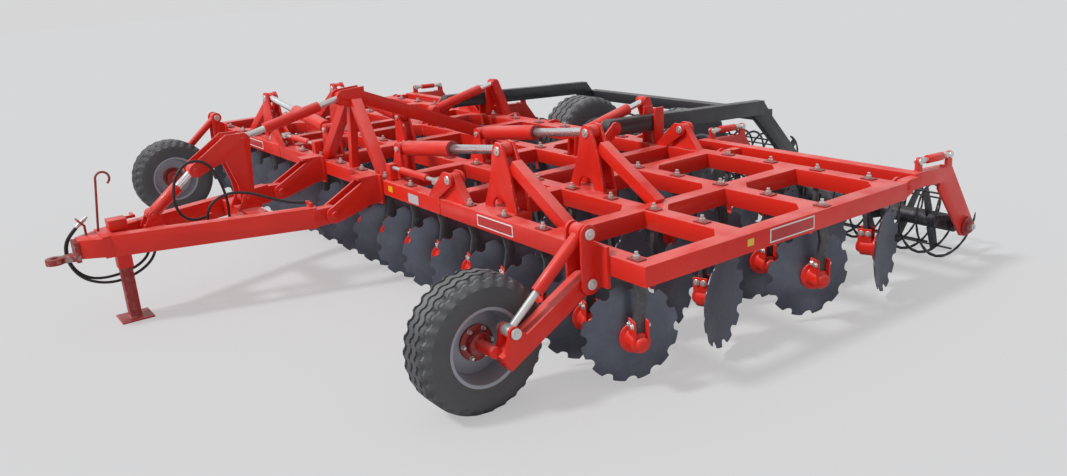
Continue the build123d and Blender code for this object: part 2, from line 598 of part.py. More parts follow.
# Hoses: straight runs joined by arcs as large as the runs allow
def hose(name, route):
    points = [Vector(*point) for point in route]
    runs = [b - a for a, b in zip(points, points[1:])]
    radii = []
    for before, after in zip(runs, runs[1:]):
        shorter = min(before.length, after.length)
        radii.append(0.45 * shorter / tan(radians(before.get_angle(after)) / 2))
    path = FilletPolyline(*points, radius=radii)
    start = Plane(origin=points[0], z_dir=runs[0].normalized())
    tube = sweep(start * RegularPolygon(HOSE_RADIUS, HOSE_SIDES), path)
    section = RegularPolygon(HOSE_RADIUS, HOSE_SIDES).area
    share = tube.volume / (section * path.length)
    print(name, "radii", [round(radius) for radius in radii])
    print(name, "length", round(path.length), "volume share", round(share, 4))
    save(name, tube)


for name, route in HOSES.items():
    hose(name, route)

# Bell-crank: two plates with a spacer, a hub on its pivot and a link pin
CRANK_PLATE_X = 72
CRANK_PLATE = 16
crank_corners = [(CRANK_PIVOT[0] - 50, CRANK_PIVOT[1]), (CRANK_PIVOT[0] + 52, CRANK_PIVOT[1]),
                 (CRANK_LINK[0] + 50, CRANK_LINK[1]),
                 (CRANK_LINK[0] - 10, CRANK_LINK[1] + 50), (CRANK_LINK[0] - 120, CRANK_LINK[1] + 55),
                 (CRANK_CYL[0] - 30, CRANK_CYL[1] + 38),
                 (CRANK_CYL[0] + 20, CRANK_CYL[1] - 42), (CRANK_LINK[0] - 150, CRANK_LINK[1] - 130),
                 (CRANK_PIVOT[0] - 60, CRANK_PIVOT[1] + 120)]
crank_rounds = [(CRANK_PIVOT, 55), (CRANK_LINK, 52), (CRANK_CYL, 48)]
crank = [side_plate(crank_corners, side * CRANK_PLATE_X, CRANK_PLATE, crank_rounds) for side in (-1, 1)]
inner_reach = CRANK_PLATE_X - CRANK_PLATE / 2
spacer = (CRANK_LINK[0] - 110, CRANK_LINK[1] - 10)
crank.append(rod((-inner_reach, *spacer), (inner_reach, *spacer), 30))
crank.append(along_x(CRANK_PIVOT, (-inner_reach, inner_reach), 42))
for side in (-1, 1):
    crank.append(along_x(CRANK_LINK, (side * inner_reach, side * (CRANK_PLATE_X + 20)), CRANK_PIN_RADIUS))
    crank.append(along_x(CRANK_CYL, (side * inner_reach, side * (CRANK_PLATE_X + 20)), CRANK_PIN_RADIUS))
crank_bore = along_x(CRANK_PIVOT, (-2 * CRANK_FOOT_X, 2 * CRANK_FOOT_X), CRANK_PIN_RADIUS + RUNNING_FIT)
save("bell_crank", joined(crank) - crank_bore)

# Levelling cylinder, from the drawbar to the bell-crank, and the link to the mast
LEVEL_BARREL_LENGTH = 262
LEVEL_ROD_LENGTH = 235
LEVEL_BARREL_RADIUS = 44
LEVEL_ROD_RADIUS = 25
LEVEL_EYE_RADIUS = 42
base, tip = (0, *GUSSET_PIN), (0, *CRANK_CYL)
eye_half = GUSSET_FOOT_X - PLATE / 2 - CLEARANCE
level_span = (Vector(*tip) - Vector(*base)).length
barrel = along_x(GUSSET_PIN, (-eye_half, eye_half), LEVEL_EYE_RADIUS) + rod(toward(base, tip, 30),
        toward(base, tip, LEVEL_BARREL_LENGTH), LEVEL_BARREL_RADIUS)
barrel -= along_x(GUSSET_PIN, (-2 * eye_half, 2 * eye_half), CRANK_PIN_RADIUS + RUNNING_FIT)
barrel -= rod(toward(base, tip, 62), toward(base, tip, LEVEL_BARREL_LENGTH + 1),
              LEVEL_ROD_RADIUS + 2 * RUNNING_FIT)
save("level_barrel", barrel)
level_rod = along_x(CRANK_CYL, (-eye_half, eye_half), LEVEL_EYE_RADIUS)
level_rod += rod(toward(base, tip, level_span - LEVEL_ROD_LENGTH), toward(base, tip, level_span - 20),
                 LEVEL_ROD_RADIUS)
save("level_rod", level_rod)
base, tip = (0, *CRANK_LINK), (0, *MAST_PIN)
link_half = MAST_HEAD_X - 8 - CLEARANCE
link_span = (Vector(*tip) - Vector(*base)).length
link = along_x(CRANK_LINK, (-link_half, link_half), LEVEL_EYE_RADIUS) + along_x(MAST_PIN,
        (-link_half, link_half), LEVEL_EYE_RADIUS)
link += rod(toward(base, tip, 20), toward(base, tip, link_span - 20), 24)
link += rod(toward(base, tip, 200), toward(base, tip, link_span - 200), 40)
save("level_link", link)


# Wings: frame with the seats and braces of the towers, hinge lugs, gauge wheel bracket and
# roller hinge lugs
TOWER_FEET = (FOLD_X + 230, FOLD_X + 590)
BRACE_HEIGHT = 80
BRACE_END = WING_LONGITUDINALS[1] - 15


def tower_plate(y):
    """A tower plate: two feet with an arch between them, and the cylinder's eye on top."""
    low, high = TOWER_FEET
    eye_x, eye_z = CYL_EYE
    corners = [(low, FRAME_TOP), (high, FRAME_TOP), (high - 50, FRAME_TOP + 250), (eye_x + 60, eye_z),
               (eye_x + 40, eye_z + 50),
               (eye_x - 20, eye_z + 55), (eye_x - 55, eye_z + 20), (low + 90, FRAME_TOP + 200)]
    arch = ((low + high) / 2 - 5, FRAME_TOP)
    return cross_plate(corners, y, PLATE, (), [(arch, 80)])


def wing_frame():
    inner, middle, outer = WING_LONGITUDINALS
    parts = [beam_across((WING_INNER, HALF), row) for row in range(4)]
    parts += [beam_along(x) for x in WING_LONGITUDINALS]
    parts += gussets(inner, middle) + gussets(middle, outer)
    for y in CYL_YS:
        reach = PLATE_GAP / 2 + PLATE
        parts.append(block(TOWER_FEET, (y - CYL_OFFSET, y + reach), (FRAME_TOP - 60, FRAME_TOP)))
        parts.append(block((BRACE_END - 40, BRACE_END + 70), (y - CYL_OFFSET, y + reach),
                           (FRAME_TOP - 60, FRAME_TOP)))
        parts.append(bar((TOWER_FEET[1] - 60, y, FRAME_TOP + 290), (BRACE_END, y, FRAME_TOP - 10),
                         PLATE_GAP, BRACE_HEIGHT))
    for row in FOLD_ROWS:
        corners = [(WING_INNER + 10, FRAME_TOP), (FOLD_X + 170, FRAME_TOP), (FOLD_X + 38, FOLD_Z + 16),
                   (FOLD_X - 40, FOLD_Z - 10)]
        holes = [((FOLD_X, FOLD_Z), FOLD_PIN_RADIUS + RUNNING_FIT)]
        parts.append(cross_plate(corners, ROW_YS[row], WING_LUG_WIDTH,
                                 [((FOLD_X, FOLD_Z), FOLD_LUG_RADIUS - 3)], holes))
    front = FRONT_Y - BEAM / 2
    shape = [(front, FRAME_TOP + 50), (front, FRAME_TOP - 180), (ARM_PIVOT[0] + 10, ARM_PIVOT[1] - 60),
             (ARM_PIVOT[0] - 58, ARM_PIVOT[1]),
             (ARM_TOP_PIN[0] - 50, ARM_TOP_PIN[1])]
    for side in (-1, 1):
        x = ARM_X + side * (ARM_SIZE / 2 + CLEARANCE + 8)
        parts.append(side_plate(shape, x, 16, [(ARM_PIVOT, 60), (ARM_TOP_PIN, 50)]))
    parts.append(block((ARM_X - 140, ARM_X + 140), (front - PLATE, front),
                       (FRAME_TOP - 180, FRAME_TOP + 50)))
    parts.append(along_x(ARM_PIVOT, (ARM_X - 80, ARM_X + 84), ARM_PIN_RADIUS))
    parts.append(along_x(ARM_TOP_PIN, (ARM_X - 80, ARM_X + 84), ARM_PIN_RADIUS - 4))
    rear = REAR_Y + BEAM / 2
    for x in ROLLER_HINGE_XS:
        shape = [(rear, FRAME_TOP), (rear, FRAME_UNDER), (ROLLER_HINGE[0], ROLLER_HINGE[1] - 50),
                 (ROLLER_HINGE[0], ROLLER_HINGE[1] + 50)]
        for side in (-1, 1):
            parts.append(side_plate(shape, x + side * 46, 14, [(ROLLER_HINGE, 50)]))
        parts.append(along_x(ROLLER_HINGE, (x - 60, x + 60), 20))
    return joined(parts)


left_wing = wing_frame()
save("wing_frame_left", left_wing)
save("wing_frame_right", mirror(left_wing, about=Plane.YZ))
tower_plates = [both_sides(tower_plate(y + face * (PLATE_GAP + PLATE) / 2)) for y in CYL_YS for face in (-1,
                                                                                                         1)]
save("fold_towers_left", *[pair[0] for pair in tower_plates])
save("fold_towers_right", *[pair[1] for pair in tower_plates])

# Gauge wheel arms: square tube, hooked lugs for the spindle and a stub axle
spindle_y, spindle_z = SPINDLE_PIN
tail = (ARM_X, WHEEL_Y + 30, WHEEL_RADIUS - 60)
arm = along_x(ARM_PIVOT, (ARM_X - ARM_SIZE / 2, ARM_X + ARM_SIZE / 2), 50) + bar((ARM_X, *ARM_PIVOT), tail,
                                                                                 ARM_SIZE, 100)
for side in (-1, 1):
    lug = [(spindle_y - 60, spindle_z - 100), (spindle_y + 110, spindle_z - 60),
           (spindle_y + 30, spindle_z + 14), (spindle_y - 30, spindle_z + 12)]
    arm += side_plate(lug, ARM_X + side * 42, 16, [(SPINDLE_PIN, 34)])
    arm += along_x(SPINDLE_PIN, (ARM_X + side * 36, ARM_X + side * 66), 24)
arm += along_x((WHEEL_Y, WHEEL_RADIUS), (WHEEL_X - 90, ARM_X), AXLE_RADIUS)
arm -= along_x(ARM_PIVOT, (ARM_X - 2 * ARM_SIZE, ARM_X + 2 * ARM_SIZE), ARM_PIN_RADIUS + RUNNING_FIT)
for name, solid in zip(("left", "right"), both_sides(arm)):
    save(f"wheel_arm_{name}", solid)


# Wheels: a tyre over a rim with a dished disc and a hub
def tyre(place, x, radius, width, rim):
    half = width / 2
    rings = [(x - half + 20, rim), (x - half, rim + 60), (x - half + 5, radius - 45),
             (x - half + 55, radius),
             (x + half - 55, radius), (x + half - 5, radius - 45), (x + half, rim + 60),
             (x + half - 20, rim)]
    bore = turned(place, [(x - half, rim), (x + half, rim)], WHEEL_SIDES)
    return turned(place, rings, WHEEL_SIDES) - bore


def rim(place, x, radius, width, bore):
    half = width / 2
    outer = turned(place, [(x - half + 20, radius), (x + half - 20, radius)], WHEEL_SIDES)
    front = turned(place, [(x - 4, 100), (x + 20, radius - 20), (x + half, radius - 12)], WHEEL_SIDES)
    back = turned(place, [(x - half, radius - 12), (x, radius - 20), (x - 20, 100)], WHEEL_SIDES)
    hub = turned(place, [(x - 70, 75), (x + 60, 75)], BAR_SIDES)
    return outer - front - back + hub - along_x(place, (x - width, x + width), bore)


def wheel(kind, place, x, radius, width, rim_radius, bore):
    made_rim = rim(place, x, rim_radius, width, bore)
    made_tyre = tyre(place, x, radius, width, rim_radius)
    for name, one_rim, one_tyre in zip(("left", "right"), both_sides(made_rim), both_sides(made_tyre)):
        save(f"{kind}_rim_{name}", one_rim)
        save(f"{kind}_tyre_{name}", one_tyre)


wheel("gauge", (WHEEL_Y, WHEEL_RADIUS), WHEEL_X, WHEEL_RADIUS, WHEEL_WIDTH, RIM_RADIUS,
      AXLE_RADIUS + RUNNING_FIT)
wheel("transport", (TRANSPORT_Y, TRANSPORT_RADIUS), TRANSPORT_X, TRANSPORT_RADIUS, TRANSPORT_WIDTH,
      TRANSPORT_RIM, TRANSPORT_AXLE_RADIUS + RUNNING_FIT)

# Spindles of the gauge wheel arms: a sleeve on the bracket and a screw to the arm
SPINDLE_SLEEVE_SHARE = 0.62
top, low = (ARM_X, *ARM_TOP_PIN), (ARM_X, *SPINDLE_PIN)
spindle_span = (Vector(*low) - Vector(*top)).length
sleeve = along_x(ARM_TOP_PIN, (ARM_X - 40, ARM_X + 40), 44) + rod(toward(top, low, 30),
        toward(top, low, spindle_span * SPINDLE_SLEEVE_SHARE), 34)
sleeve -= along_x(ARM_TOP_PIN, (ARM_X - ARM_SIZE, ARM_X + ARM_SIZE), ARM_PIN_RADIUS - 4 + RUNNING_FIT)
sleeve -= rod(toward(top, low, 70), toward(top, low, spindle_span), 21)
screw = along_x(SPINDLE_PIN, (ARM_X - 32, ARM_X + 32), 34) + rod(toward(top, low, spindle_span * 0.34),
                                                                 toward(top, low, spindle_span - 20), 20.5)
for name, one_sleeve, one_screw in zip(("left", "right"), both_sides(sleeve), both_sides(screw)):
    save(f"spindle_sleeve_{name}", one_sleeve)
    save(f"spindle_screw_{name}", one_screw)

# Fold cylinders
CYL_NECK = 95
cyl_half = CYL_EYE_WIDTH / 2
barrels, rods = [], []
for y in CYL_YS:
    base, tip = (CYL_BASE[0], y, CYL_BASE[1]), (CYL_EYE[0], y, CYL_EYE[1])
    cyl_span = (Vector(*tip) - Vector(*base)).length
    barrel = along_y(CYL_BASE, (y - cyl_half, y + cyl_half), CYL_EYE_RADIUS)
    barrel += rod(toward(base, tip, 30), toward(base, tip, CYL_NECK), CYL_NECK_RADIUS)
    barrel += rod(toward(base, tip, CYL_NECK - 10), toward(base, tip, CYL_BARREL_LENGTH), CYL_BARREL_RADIUS)
    barrel -= rod(toward(base, tip, CYL_NECK + 3), toward(base, tip, CYL_BARREL_LENGTH + 15),
                  CYL_ROD_RADIUS + 2 * RUNNING_FIT)
    pin_reach = PLATE_GAP / 2 + PLATE + 12
    barrel += along_y(CYL_BASE, (y - pin_reach, y + pin_reach), CYL_PIN_RADIUS)
    barrels.append(both_sides(barrel))
    cyl_rod = along_y(CYL_EYE, (y - cyl_half, y + cyl_half), CYL_EYE_RADIUS)
    cyl_rod += rod(toward(base, tip, cyl_span - CYL_ROD_LENGTH), toward(base, tip, cyl_span - 20),
                   CYL_ROD_RADIUS)
    rods.append(both_sides(cyl_rod))
for side, name in enumerate(("left", "right")):
    save(f"fold_barrels_{name}", *[pair[side] for pair in barrels])
    save(f"fold_rods_{name}", *[pair[side] for pair in rods])


# Rollers: a tube with end stubs, star plates and bars
def roller(y, x):
    place = (y, ROLLER_RADIUS)
    ring = ROLLER_RADIUS - ROLLER_BAR
    parts = [rod((x[0], *place), (x[1], *place), ROLLER_TUBE)]
    parts.append(along_x(place, (x[0] - ROLLER_END_GAP, x[1] + ROLLER_END_GAP), ROLLER_STUB))
    step = (x[1] - x[0] - 40) / (ROLLER_STARS - 1)
    for n in range(ROLLER_STARS):
        star_x = x[0] + 20 + step * n
        parts.append(turned(place, [(star_x - 6, ring), (star_x + 6, ring)], 2 * ROLLER_BARS))
    for n in range(ROLLER_BARS):
        angle = 2 * pi * n / ROLLER_BARS
        spot = (y + ring * cos(angle), ROLLER_RADIUS + ring * sin(angle))
        parts.append(rod((x[0], *spot), (x[1], *spot), ROLLER_BAR, 8))
    return joined(parts)


for name, solid in zip(("left", "right"), both_sides(roller(WING_ROLLER_Y, WING_ROLLER_X))):
    save(f"roller_{name}", solid)
save("roller_centre", roller(CENTRE_ROLLER_Y, CENTRE_ROLLER_X))

# Wing roller frames: hinged transverse beam, two end arms and their end plates
hinge_y, hinge_z = ROLLER_HINGE
end_xs = (WING_ROLLER_X[0] - ROLLER_END_GAP, WING_ROLLER_X[1] + ROLLER_END_GAP)
beam_z = (hinge_z - 50, hinge_z + 50)
frame = [block((end_xs[0] - 50, end_xs[1] + 50), ROLLER_BEAM, beam_z)]
for x in ROLLER_HINGE_XS:
    frame.append(block((x - 33, x + 33), (hinge_y, ROLLER_BEAM[0]), (hinge_z - 38, hinge_z + 38)))
    frame.append(along_x(ROLLER_HINGE, (x - 33, x + 33), 38))
for x in end_xs:
    frame.append(bar((x, ROLLER_BEAM[0] + 20, hinge_z), (x, *ROLLER_ARM_PIN), 80, 100))
    for pin in TURNBUCKLE_PINS:
        foot = (pin[0], FRAME_TOP - 40)
        frame.append(side_plate([(pin[0] - 40, foot[1] - 40), (pin[0] + 40, foot[1] - 40),
                                 (pin[0] + 26, pin[1]), (pin[0] - 26, pin[1])], x, PLATE, [(pin, 26)]))
    end_plate = [(ROLLER_ARM_PIN[0] - 60, FRAME_TOP + 4), (ROLLER_ARM_PIN[0] + 55, FRAME_TOP - 15),
                 (WING_ROLLER_Y + 75, ROLLER_RADIUS + 30),
                 (WING_ROLLER_Y + 60, ROLLER_RADIUS - 50), (WING_ROLLER_Y - 60, ROLLER_RADIUS - 60),
                 (ROLLER_ARM_PIN[0] - 80, FRAME_TOP - 160)]
    frame.append(side_plate(end_plate, x, PLATE, [((WING_ROLLER_Y, ROLLER_RADIUS), 75)]))
made = joined(frame)
for x in end_xs:
    made -= along_x((WING_ROLLER_Y, ROLLER_RADIUS), (x - 80, x + 80), ROLLER_STUB + RUNNING_FIT)
made -= along_x(ROLLER_HINGE, (end_xs[0] - 50, HALF + 20), 20 + RUNNING_FIT)
for name, solid in zip(("left", "right"), both_sides(made)):
    save(f"roller_frame_{name}", solid)

# Turnbuckles above the end arms, one each side of every wing roller frame: forks over the
# lugs, screws and a sleeve
FORK_RADIUS = 22
FORK_LENGTH = 55
FORK_SLOT = 32
buckles = []
for x in end_xs:
    ends = [(x, *pin) for pin in TURNBUCKLE_PINS]
    buckle_span = (Vector(*ends[1]) - Vector(*ends[0])).length
    buckle = rod(toward(*ends, FORK_LENGTH - 10), toward(*ends, buckle_span - FORK_LENGTH + 10), 15)
    buckle += rod(toward(*ends, 90), toward(*ends, buckle_span - 90), 28)
    for end, other in (ends, ends[::-1]):
        buckle += along_x(end[1:], (x - FORK_RADIUS, x + FORK_RADIUS), FORK_RADIUS)
        buckle += rod(end, toward(end, other, FORK_LENGTH), FORK_RADIUS)
    slot_half = PLATE / 2 + RUNNING_FIT
    for _, y, z in ends:
        buckle -= block((x - slot_half, x + slot_half), (y - FORK_SLOT, y + FORK_SLOT), (z - 60, z + 60))
    buckles.append(both_sides(buckle))
for side, name in enumerate(("left", "right")):
    save(f"roller_turnbuckles_{name}", *[pair[side] for pair in buckles])

# Centre roller frame: two long arms, knee plates to the bearings and a cross tube
ARM_END = (FRONT_Y + 3400, FRAME_TOP + 100)
bearing = (CENTRE_ROLLER_Y, ROLLER_RADIUS)
arms = []
for side in (-1, 1):
    x = side * CENTRE_ARM_X
    arms.append(along_x(CENTRE_ARM_PIVOT, (x - CENTRE_ARM[0] / 2, x + CENTRE_ARM[0] / 2), 62))
    arms.append(bar((x, *CENTRE_ARM_PIVOT), (x, *ARM_END), *CENTRE_ARM))
    knee = [(ARM_END[0] - 110, ARM_END[1] + 60), (ARM_END[0] + 10, ARM_END[1] + 60),
            (KNEE[0] + 60, KNEE[1]), (bearing[0] + 60, bearing[1] + 110),
            (bearing[0] + 45, bearing[1] - 60), (bearing[0] - 45, bearing[1] - 60),
            (bearing[0] - 100, bearing[1] + 80), (ARM_END[0] - 110, ARM_END[1] - 60)]
    arms.append(side_plate(knee, x, 60, [(bearing, 80)]))
arms.append(block((-CENTRE_ARM_X, CENTRE_ARM_X), (KNEE[0], KNEE[0] + 100), (KNEE[1] - 50, KNEE[1] + 50)))
made = joined(arms)
made -= along_x(CENTRE_ARM_PIVOT, (-HALF, HALF), CRANK_PIN_RADIUS + RUNNING_FIT)
made -= along_x(bearing, (-HALF, HALF), ROLLER_STUB + RUNNING_FIT)
save("roller_frame_centre", made)

# Transport axle: rockshaft, arms with stub axles, and the levers of the lift cylinders
axle_place = (TRANSPORT_Y, TRANSPORT_RADIUS)
LEVER_X = LIFT_X + LIFT_GAP / 2 + PLATE / 2
shaft = along_x(ROCKSHAFT, (-LEVER_X - PLATE / 2, LEVER_X + PLATE / 2), ROCKSHAFT_RADIUS)
axle = []
for side in (-1, 1):
    x = side * AXLE_BRACKET_X
    axle.append(bar((x, *ROCKSHAFT), (x, *axle_place), 100, 110))
    axle.append(along_x(axle_place, (x, side * (TRANSPORT_X + 100)), TRANSPORT_AXLE_RADIUS))
    for face in (-1, 1):
        lever = [(ROCKSHAFT[0] - 45, ROCKSHAFT[1]), (ROCKSHAFT[0] + 60, ROCKSHAFT[1]),
                 (LIFT_EYE[0] + 36, LIFT_EYE[1] + 12), (LIFT_EYE[0] - 36, LIFT_EYE[1] - 12)]
        axle.append(side_plate(lever, side * (LIFT_X + face * (LIFT_GAP + PLATE) / 2), PLATE,
                               [(ROCKSHAFT, 62), (LIFT_EYE, 38)]))
save("transport_axle", joined([shaft, *axle]))

# Lift cylinders of the transport axle
base, tip = (LIFT_X, *LIFT_BASE), (LIFT_X, *LIFT_EYE)
lift_span = (Vector(*tip) - Vector(*base)).length
lift_half = LIFT_EYE_WIDTH / 2
barrel = along_x(LIFT_BASE, (LIFT_X - lift_half, LIFT_X + lift_half), 42) + rod(toward(base, tip, 30),
        toward(base, tip, LIFT_NECK + 5), LIFT_NECK_RADIUS)
barrel += rod(toward(base, tip, LIFT_NECK), toward(base, tip, LIFT_BARREL_LENGTH), LIFT_BARREL_RADIUS)
barrel -= along_x(LIFT_BASE, (LIFT_X - LIFT_GAP, LIFT_X + LIFT_GAP), LIFT_PIN_RADIUS + RUNNING_FIT)
barrel -= rod(toward(base, tip, LIFT_NECK + 8), toward(base, tip, LIFT_BARREL_LENGTH + 10),
              LIFT_ROD_RADIUS + 2 * RUNNING_FIT)
save("lift_barrels", *both_sides(barrel))
lift_rod = along_x(LIFT_EYE, (LIFT_X - lift_half, LIFT_X + lift_half), 38)
lift_rod += rod(toward(base, tip, lift_span - LIFT_ROD_LENGTH), toward(base, tip, lift_span - 20),
                LIFT_ROD_RADIUS)
save("lift_rods", *both_sides(lift_rod))
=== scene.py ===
import bpy
import json
from math import atan2, cos, hypot, pi, radians, sin, sqrt
from mathutils import Matrix, Vector


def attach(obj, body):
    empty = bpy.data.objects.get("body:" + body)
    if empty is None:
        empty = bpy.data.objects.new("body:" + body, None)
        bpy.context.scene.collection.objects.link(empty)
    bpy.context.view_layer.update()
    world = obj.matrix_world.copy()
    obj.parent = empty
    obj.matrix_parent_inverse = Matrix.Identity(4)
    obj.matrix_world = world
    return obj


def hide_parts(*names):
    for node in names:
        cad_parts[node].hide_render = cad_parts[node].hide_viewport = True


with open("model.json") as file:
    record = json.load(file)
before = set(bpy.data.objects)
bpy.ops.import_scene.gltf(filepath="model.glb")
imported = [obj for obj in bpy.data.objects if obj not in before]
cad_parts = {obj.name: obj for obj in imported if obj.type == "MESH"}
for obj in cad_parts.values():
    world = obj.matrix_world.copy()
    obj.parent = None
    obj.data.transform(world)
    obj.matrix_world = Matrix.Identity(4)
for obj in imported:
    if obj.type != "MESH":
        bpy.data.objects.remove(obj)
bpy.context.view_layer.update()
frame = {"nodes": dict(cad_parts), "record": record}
bodies = frame["record"]["behaviour"]["bodies"]
body_of = {node: body for body, nodes in bodies.items() for node in nodes}


# Finish of everything that works in the open: uneven colour, a layer on what faces up, bare spots and a fine
# grain.
# The layer on what faces up is dust, except on the red paints, where it is a pale painted sheen standing in
# for the sky's reflection on the gloss. Each paint, steel and rubber below takes its own share of these.
MOTTLE_SHARE, ROUGHNESS_SPREAD, GRAIN_HEIGHT, COAT_ROUGHNESS = 0.6, 0.28, 0.002, 0.12
weathering_and_sheen = bpy.data.node_groups.new("Field weathering and sheen", "ShaderNodeTree")
sockets = weathering_and_sheen.interface
sockets.new_socket(name="Place", in_out="INPUT", socket_type="NodeSocketVector")
sockets.new_socket(name="Size", in_out="INPUT", socket_type="NodeSocketFloat").default_value = 1.0
for mask in ("Mottle", "Dust and sheen", "Bare", "Grain"):
    sockets.new_socket(name=mask, in_out="OUTPUT", socket_type="NodeSocketFloat")


def noise(nodes, links, place, size, scale, detail):
    """A noise of one scale on the piece's own coordinates, made finer by the size."""
    made = nodes.new("ShaderNodeTexNoise")
    made.inputs["Detail"].default_value = detail
    made.inputs["Scale"].default_value = scale
    scaled = nodes.new("ShaderNodeVectorMath")
    scaled.operation = "SCALE"
    links.new(place, scaled.inputs[0])
    links.new(size, scaled.inputs["Scale"])
    links.new(scaled.outputs[0], made.inputs["Vector"])
    return made.outputs["Fac"]


def ramp(nodes, links, value, low, high):
    """A value spread from 0 at low to 1 at high."""
    made = nodes.new("ShaderNodeMapRange")
    made.inputs["From Min"].default_value = low
    made.inputs["From Max"].default_value = high
    links.new(value, made.inputs["Value"])
    return made.outputs["Result"]


def combined(nodes, links, operation, a, b):
    """A value worked out from two others, of which the second may be a plain number."""
    made = nodes.new("ShaderNodeMath")
    made.operation = operation
    links.new(a, made.inputs[0])
    if isinstance(b, float):
        made.inputs[1].default_value = b
    else:
        links.new(b, made.inputs[1])
    return made.outputs[0]


nodes, links = weathering_and_sheen.nodes, weathering_and_sheen.links
group_in, group_out = nodes.new("NodeGroupInput"), nodes.new("NodeGroupOutput")
place, size = group_in.outputs["Place"], group_in.outputs["Size"]
geometry = nodes.new("ShaderNodeNewGeometry")
facing = nodes.new("ShaderNodeSeparateXYZ")
links.new(geometry.outputs["Normal"], facing.inputs[0])
broad = noise(nodes, links, place, size, scale=2.4, detail=6)
links.new(ramp(nodes, links, broad, low=0.32, high=0.68), group_out.inputs["Mottle"])
# What faces up, in patches: dust on most finishes, a painted sheen on the red paints.
up = ramp(nodes, links, facing.outputs["Z"], low=0.35, high=0.95)
cloudy = noise(nodes, links, place, size, scale=5.0, detail=8)
patches = ramp(nodes, links, cloudy, low=0.25, high=0.60)
links.new(combined(nodes, links, "MULTIPLY", up, patches), group_out.inputs["Dust and sheen"])
speckled = noise(nodes, links, place, size, scale=26.0, detail=5)
links.new(ramp(nodes, links, speckled, low=0.52, high=0.62), group_out.inputs["Bare"])
links.new(noise(nodes, links, place, size, scale=210.0, detail=3), group_out.inputs["Grain"])


def finish(name, colour, dark, bare, dust_and_sheen, rough, metal=0.0, dust_and_sheen_share=0.12, worn=0.0, coat=0.0,
           bump=0.08, size=1.0, gloss=0.5):
    """A weathered surface: two shades of its colour, dust in patches on what faces up (a painted sheen there
    on the red paints), and bare spots where it is worn.
    """
    made = bpy.data.materials.new(name)
    made.use_nodes = True
    nodes, links = made.node_tree.nodes, made.node_tree.links
    shader = nodes["Principled BSDF"]
    where = nodes.new("ShaderNodeTexCoord")
    weather_and_sheen = nodes.new("ShaderNodeGroup")
    weather_and_sheen.node_tree = weathering_and_sheen
    weather_and_sheen.inputs["Size"].default_value = size
    links.new(where.outputs["Object"], weather_and_sheen.inputs["Place"])
    mixes = []
    # The second layer, on what faces up, is a painted sheen where the colour given is the pale red of the red
    # paints, and dust elsewhere.
    for mask, share, other in (("Mottle", MOTTLE_SHARE, dark), ("Dust and sheen", dust_and_sheen_share, dust_and_sheen), ("Bare", worn, bare)):
        mix = nodes.new("ShaderNodeMix")
        mix.data_type = "RGBA"
        part = combined(nodes, links, "MULTIPLY", weather_and_sheen.outputs[mask], share)
        links.new(part, mix.inputs["Factor"])
        mix.inputs[7].default_value = (*other, 1)
        if mixes:
            links.new(mixes[-1].outputs[2], mix.inputs[6])
        else:
            mix.inputs[6].default_value = (*colour, 1)
        mixes.append(mix)
    links.new(mixes[-1].outputs[2], shader.inputs["Base Color"])
    roughness = nodes.new("ShaderNodeMapRange")
    roughness.inputs["To Min"].default_value = rough
    roughness.inputs["To Max"].default_value = min(1.0, rough + ROUGHNESS_SPREAD)
    links.new(weather_and_sheen.outputs["Mottle"], roughness.inputs["Value"])
    links.new(roughness.outputs["Result"], shader.inputs["Roughness"])
    shader.inputs["Metallic"].default_value = metal
    shader.inputs["Specular IOR Level"].default_value = gloss
    shader.inputs["Coat Weight"].default_value = coat
    shader.inputs["Coat Roughness"].default_value = COAT_ROUGHNESS
    relief = nodes.new("ShaderNodeBump")
    relief.inputs["Strength"].default_value = bump
    relief.inputs["Distance"].default_value = GRAIN_HEIGHT
    links.new(weather_and_sheen.outputs["Grain"], relief.inputs["Height"])
    links.new(relief.outputs["Normal"], shader.inputs["Normal"])
    return made


# Frame, mast, towers, arms and the other welded parts: square tube and plate, shot-blasted and
# painted in gloss red, or in anthracite on the centre roller frame. Each keeps the shape of its
# CAD node, with its edges rounded as rolled tube and ground welds are.
DUST, STEEL = (0.36, 0.30, 0.24), (0.30, 0.26, 0.24)
RED, DEEP_RED = (0.78, 0.026, 0.012), (0.60, 0.015, 0.009)
# Painted sheen: the pale red given first below lies on what faces up on both red paints, standing in for the
# sky's reflection on their gloss.
PAINTED_SHEEN_RED, PALE_EDGE = (0.86, 0.24, 0.22), (0.62, 0.34, 0.32)
GREY, DEEP_GREY = (0.035, 0.038, 0.045), (0.022, 0.023, 0.027)
WELD_GAP, FLAT_ANGLE, EDGE_ANGLE, SMOOTH_ANGLE = 0.00005, radians(1.5), radians(40), radians(38)
# Both red paints lay that painted sheen on their upward faces, where the other finishes lay dust.
red_paint = finish("Gloss red paint with painted sheen", RED, DEEP_RED, STEEL, PAINTED_SHEEN_RED, rough=0.26, dust_and_sheen_share=0.55,
                   coat=0.12, gloss=0.3)
red_edges = finish("Red paint worn on its edges, with painted sheen", RED, DEEP_RED, PALE_EDGE, PAINTED_SHEEN_RED, rough=0.30,
                   dust_and_sheen_share=0.5, worn=0.6)
grey_paint = finish("Anthracite paint", GREY, DEEP_GREY, STEEL, DUST, rough=0.34, coat=0.15)
grey_edges = finish("Anthracite paint worn on its edges", GREY, DEEP_GREY, STEEL, DUST, rough=0.38,
                    worn=0.7)


def only(*pieces):
    """Selects these pieces alone, the first as the active one."""
    bpy.ops.object.select_all(action="DESELECT")
    for piece in pieces:
        piece.select_set(True)
    bpy.context.view_layer.objects.active = pieces[0]


def apply_all(piece):
    """Turns the modifiers of a piece into its shape."""
    only(piece)
    for modifier in list(piece.modifiers):
        bpy.ops.object.modifier_apply(modifier=modifier.name)


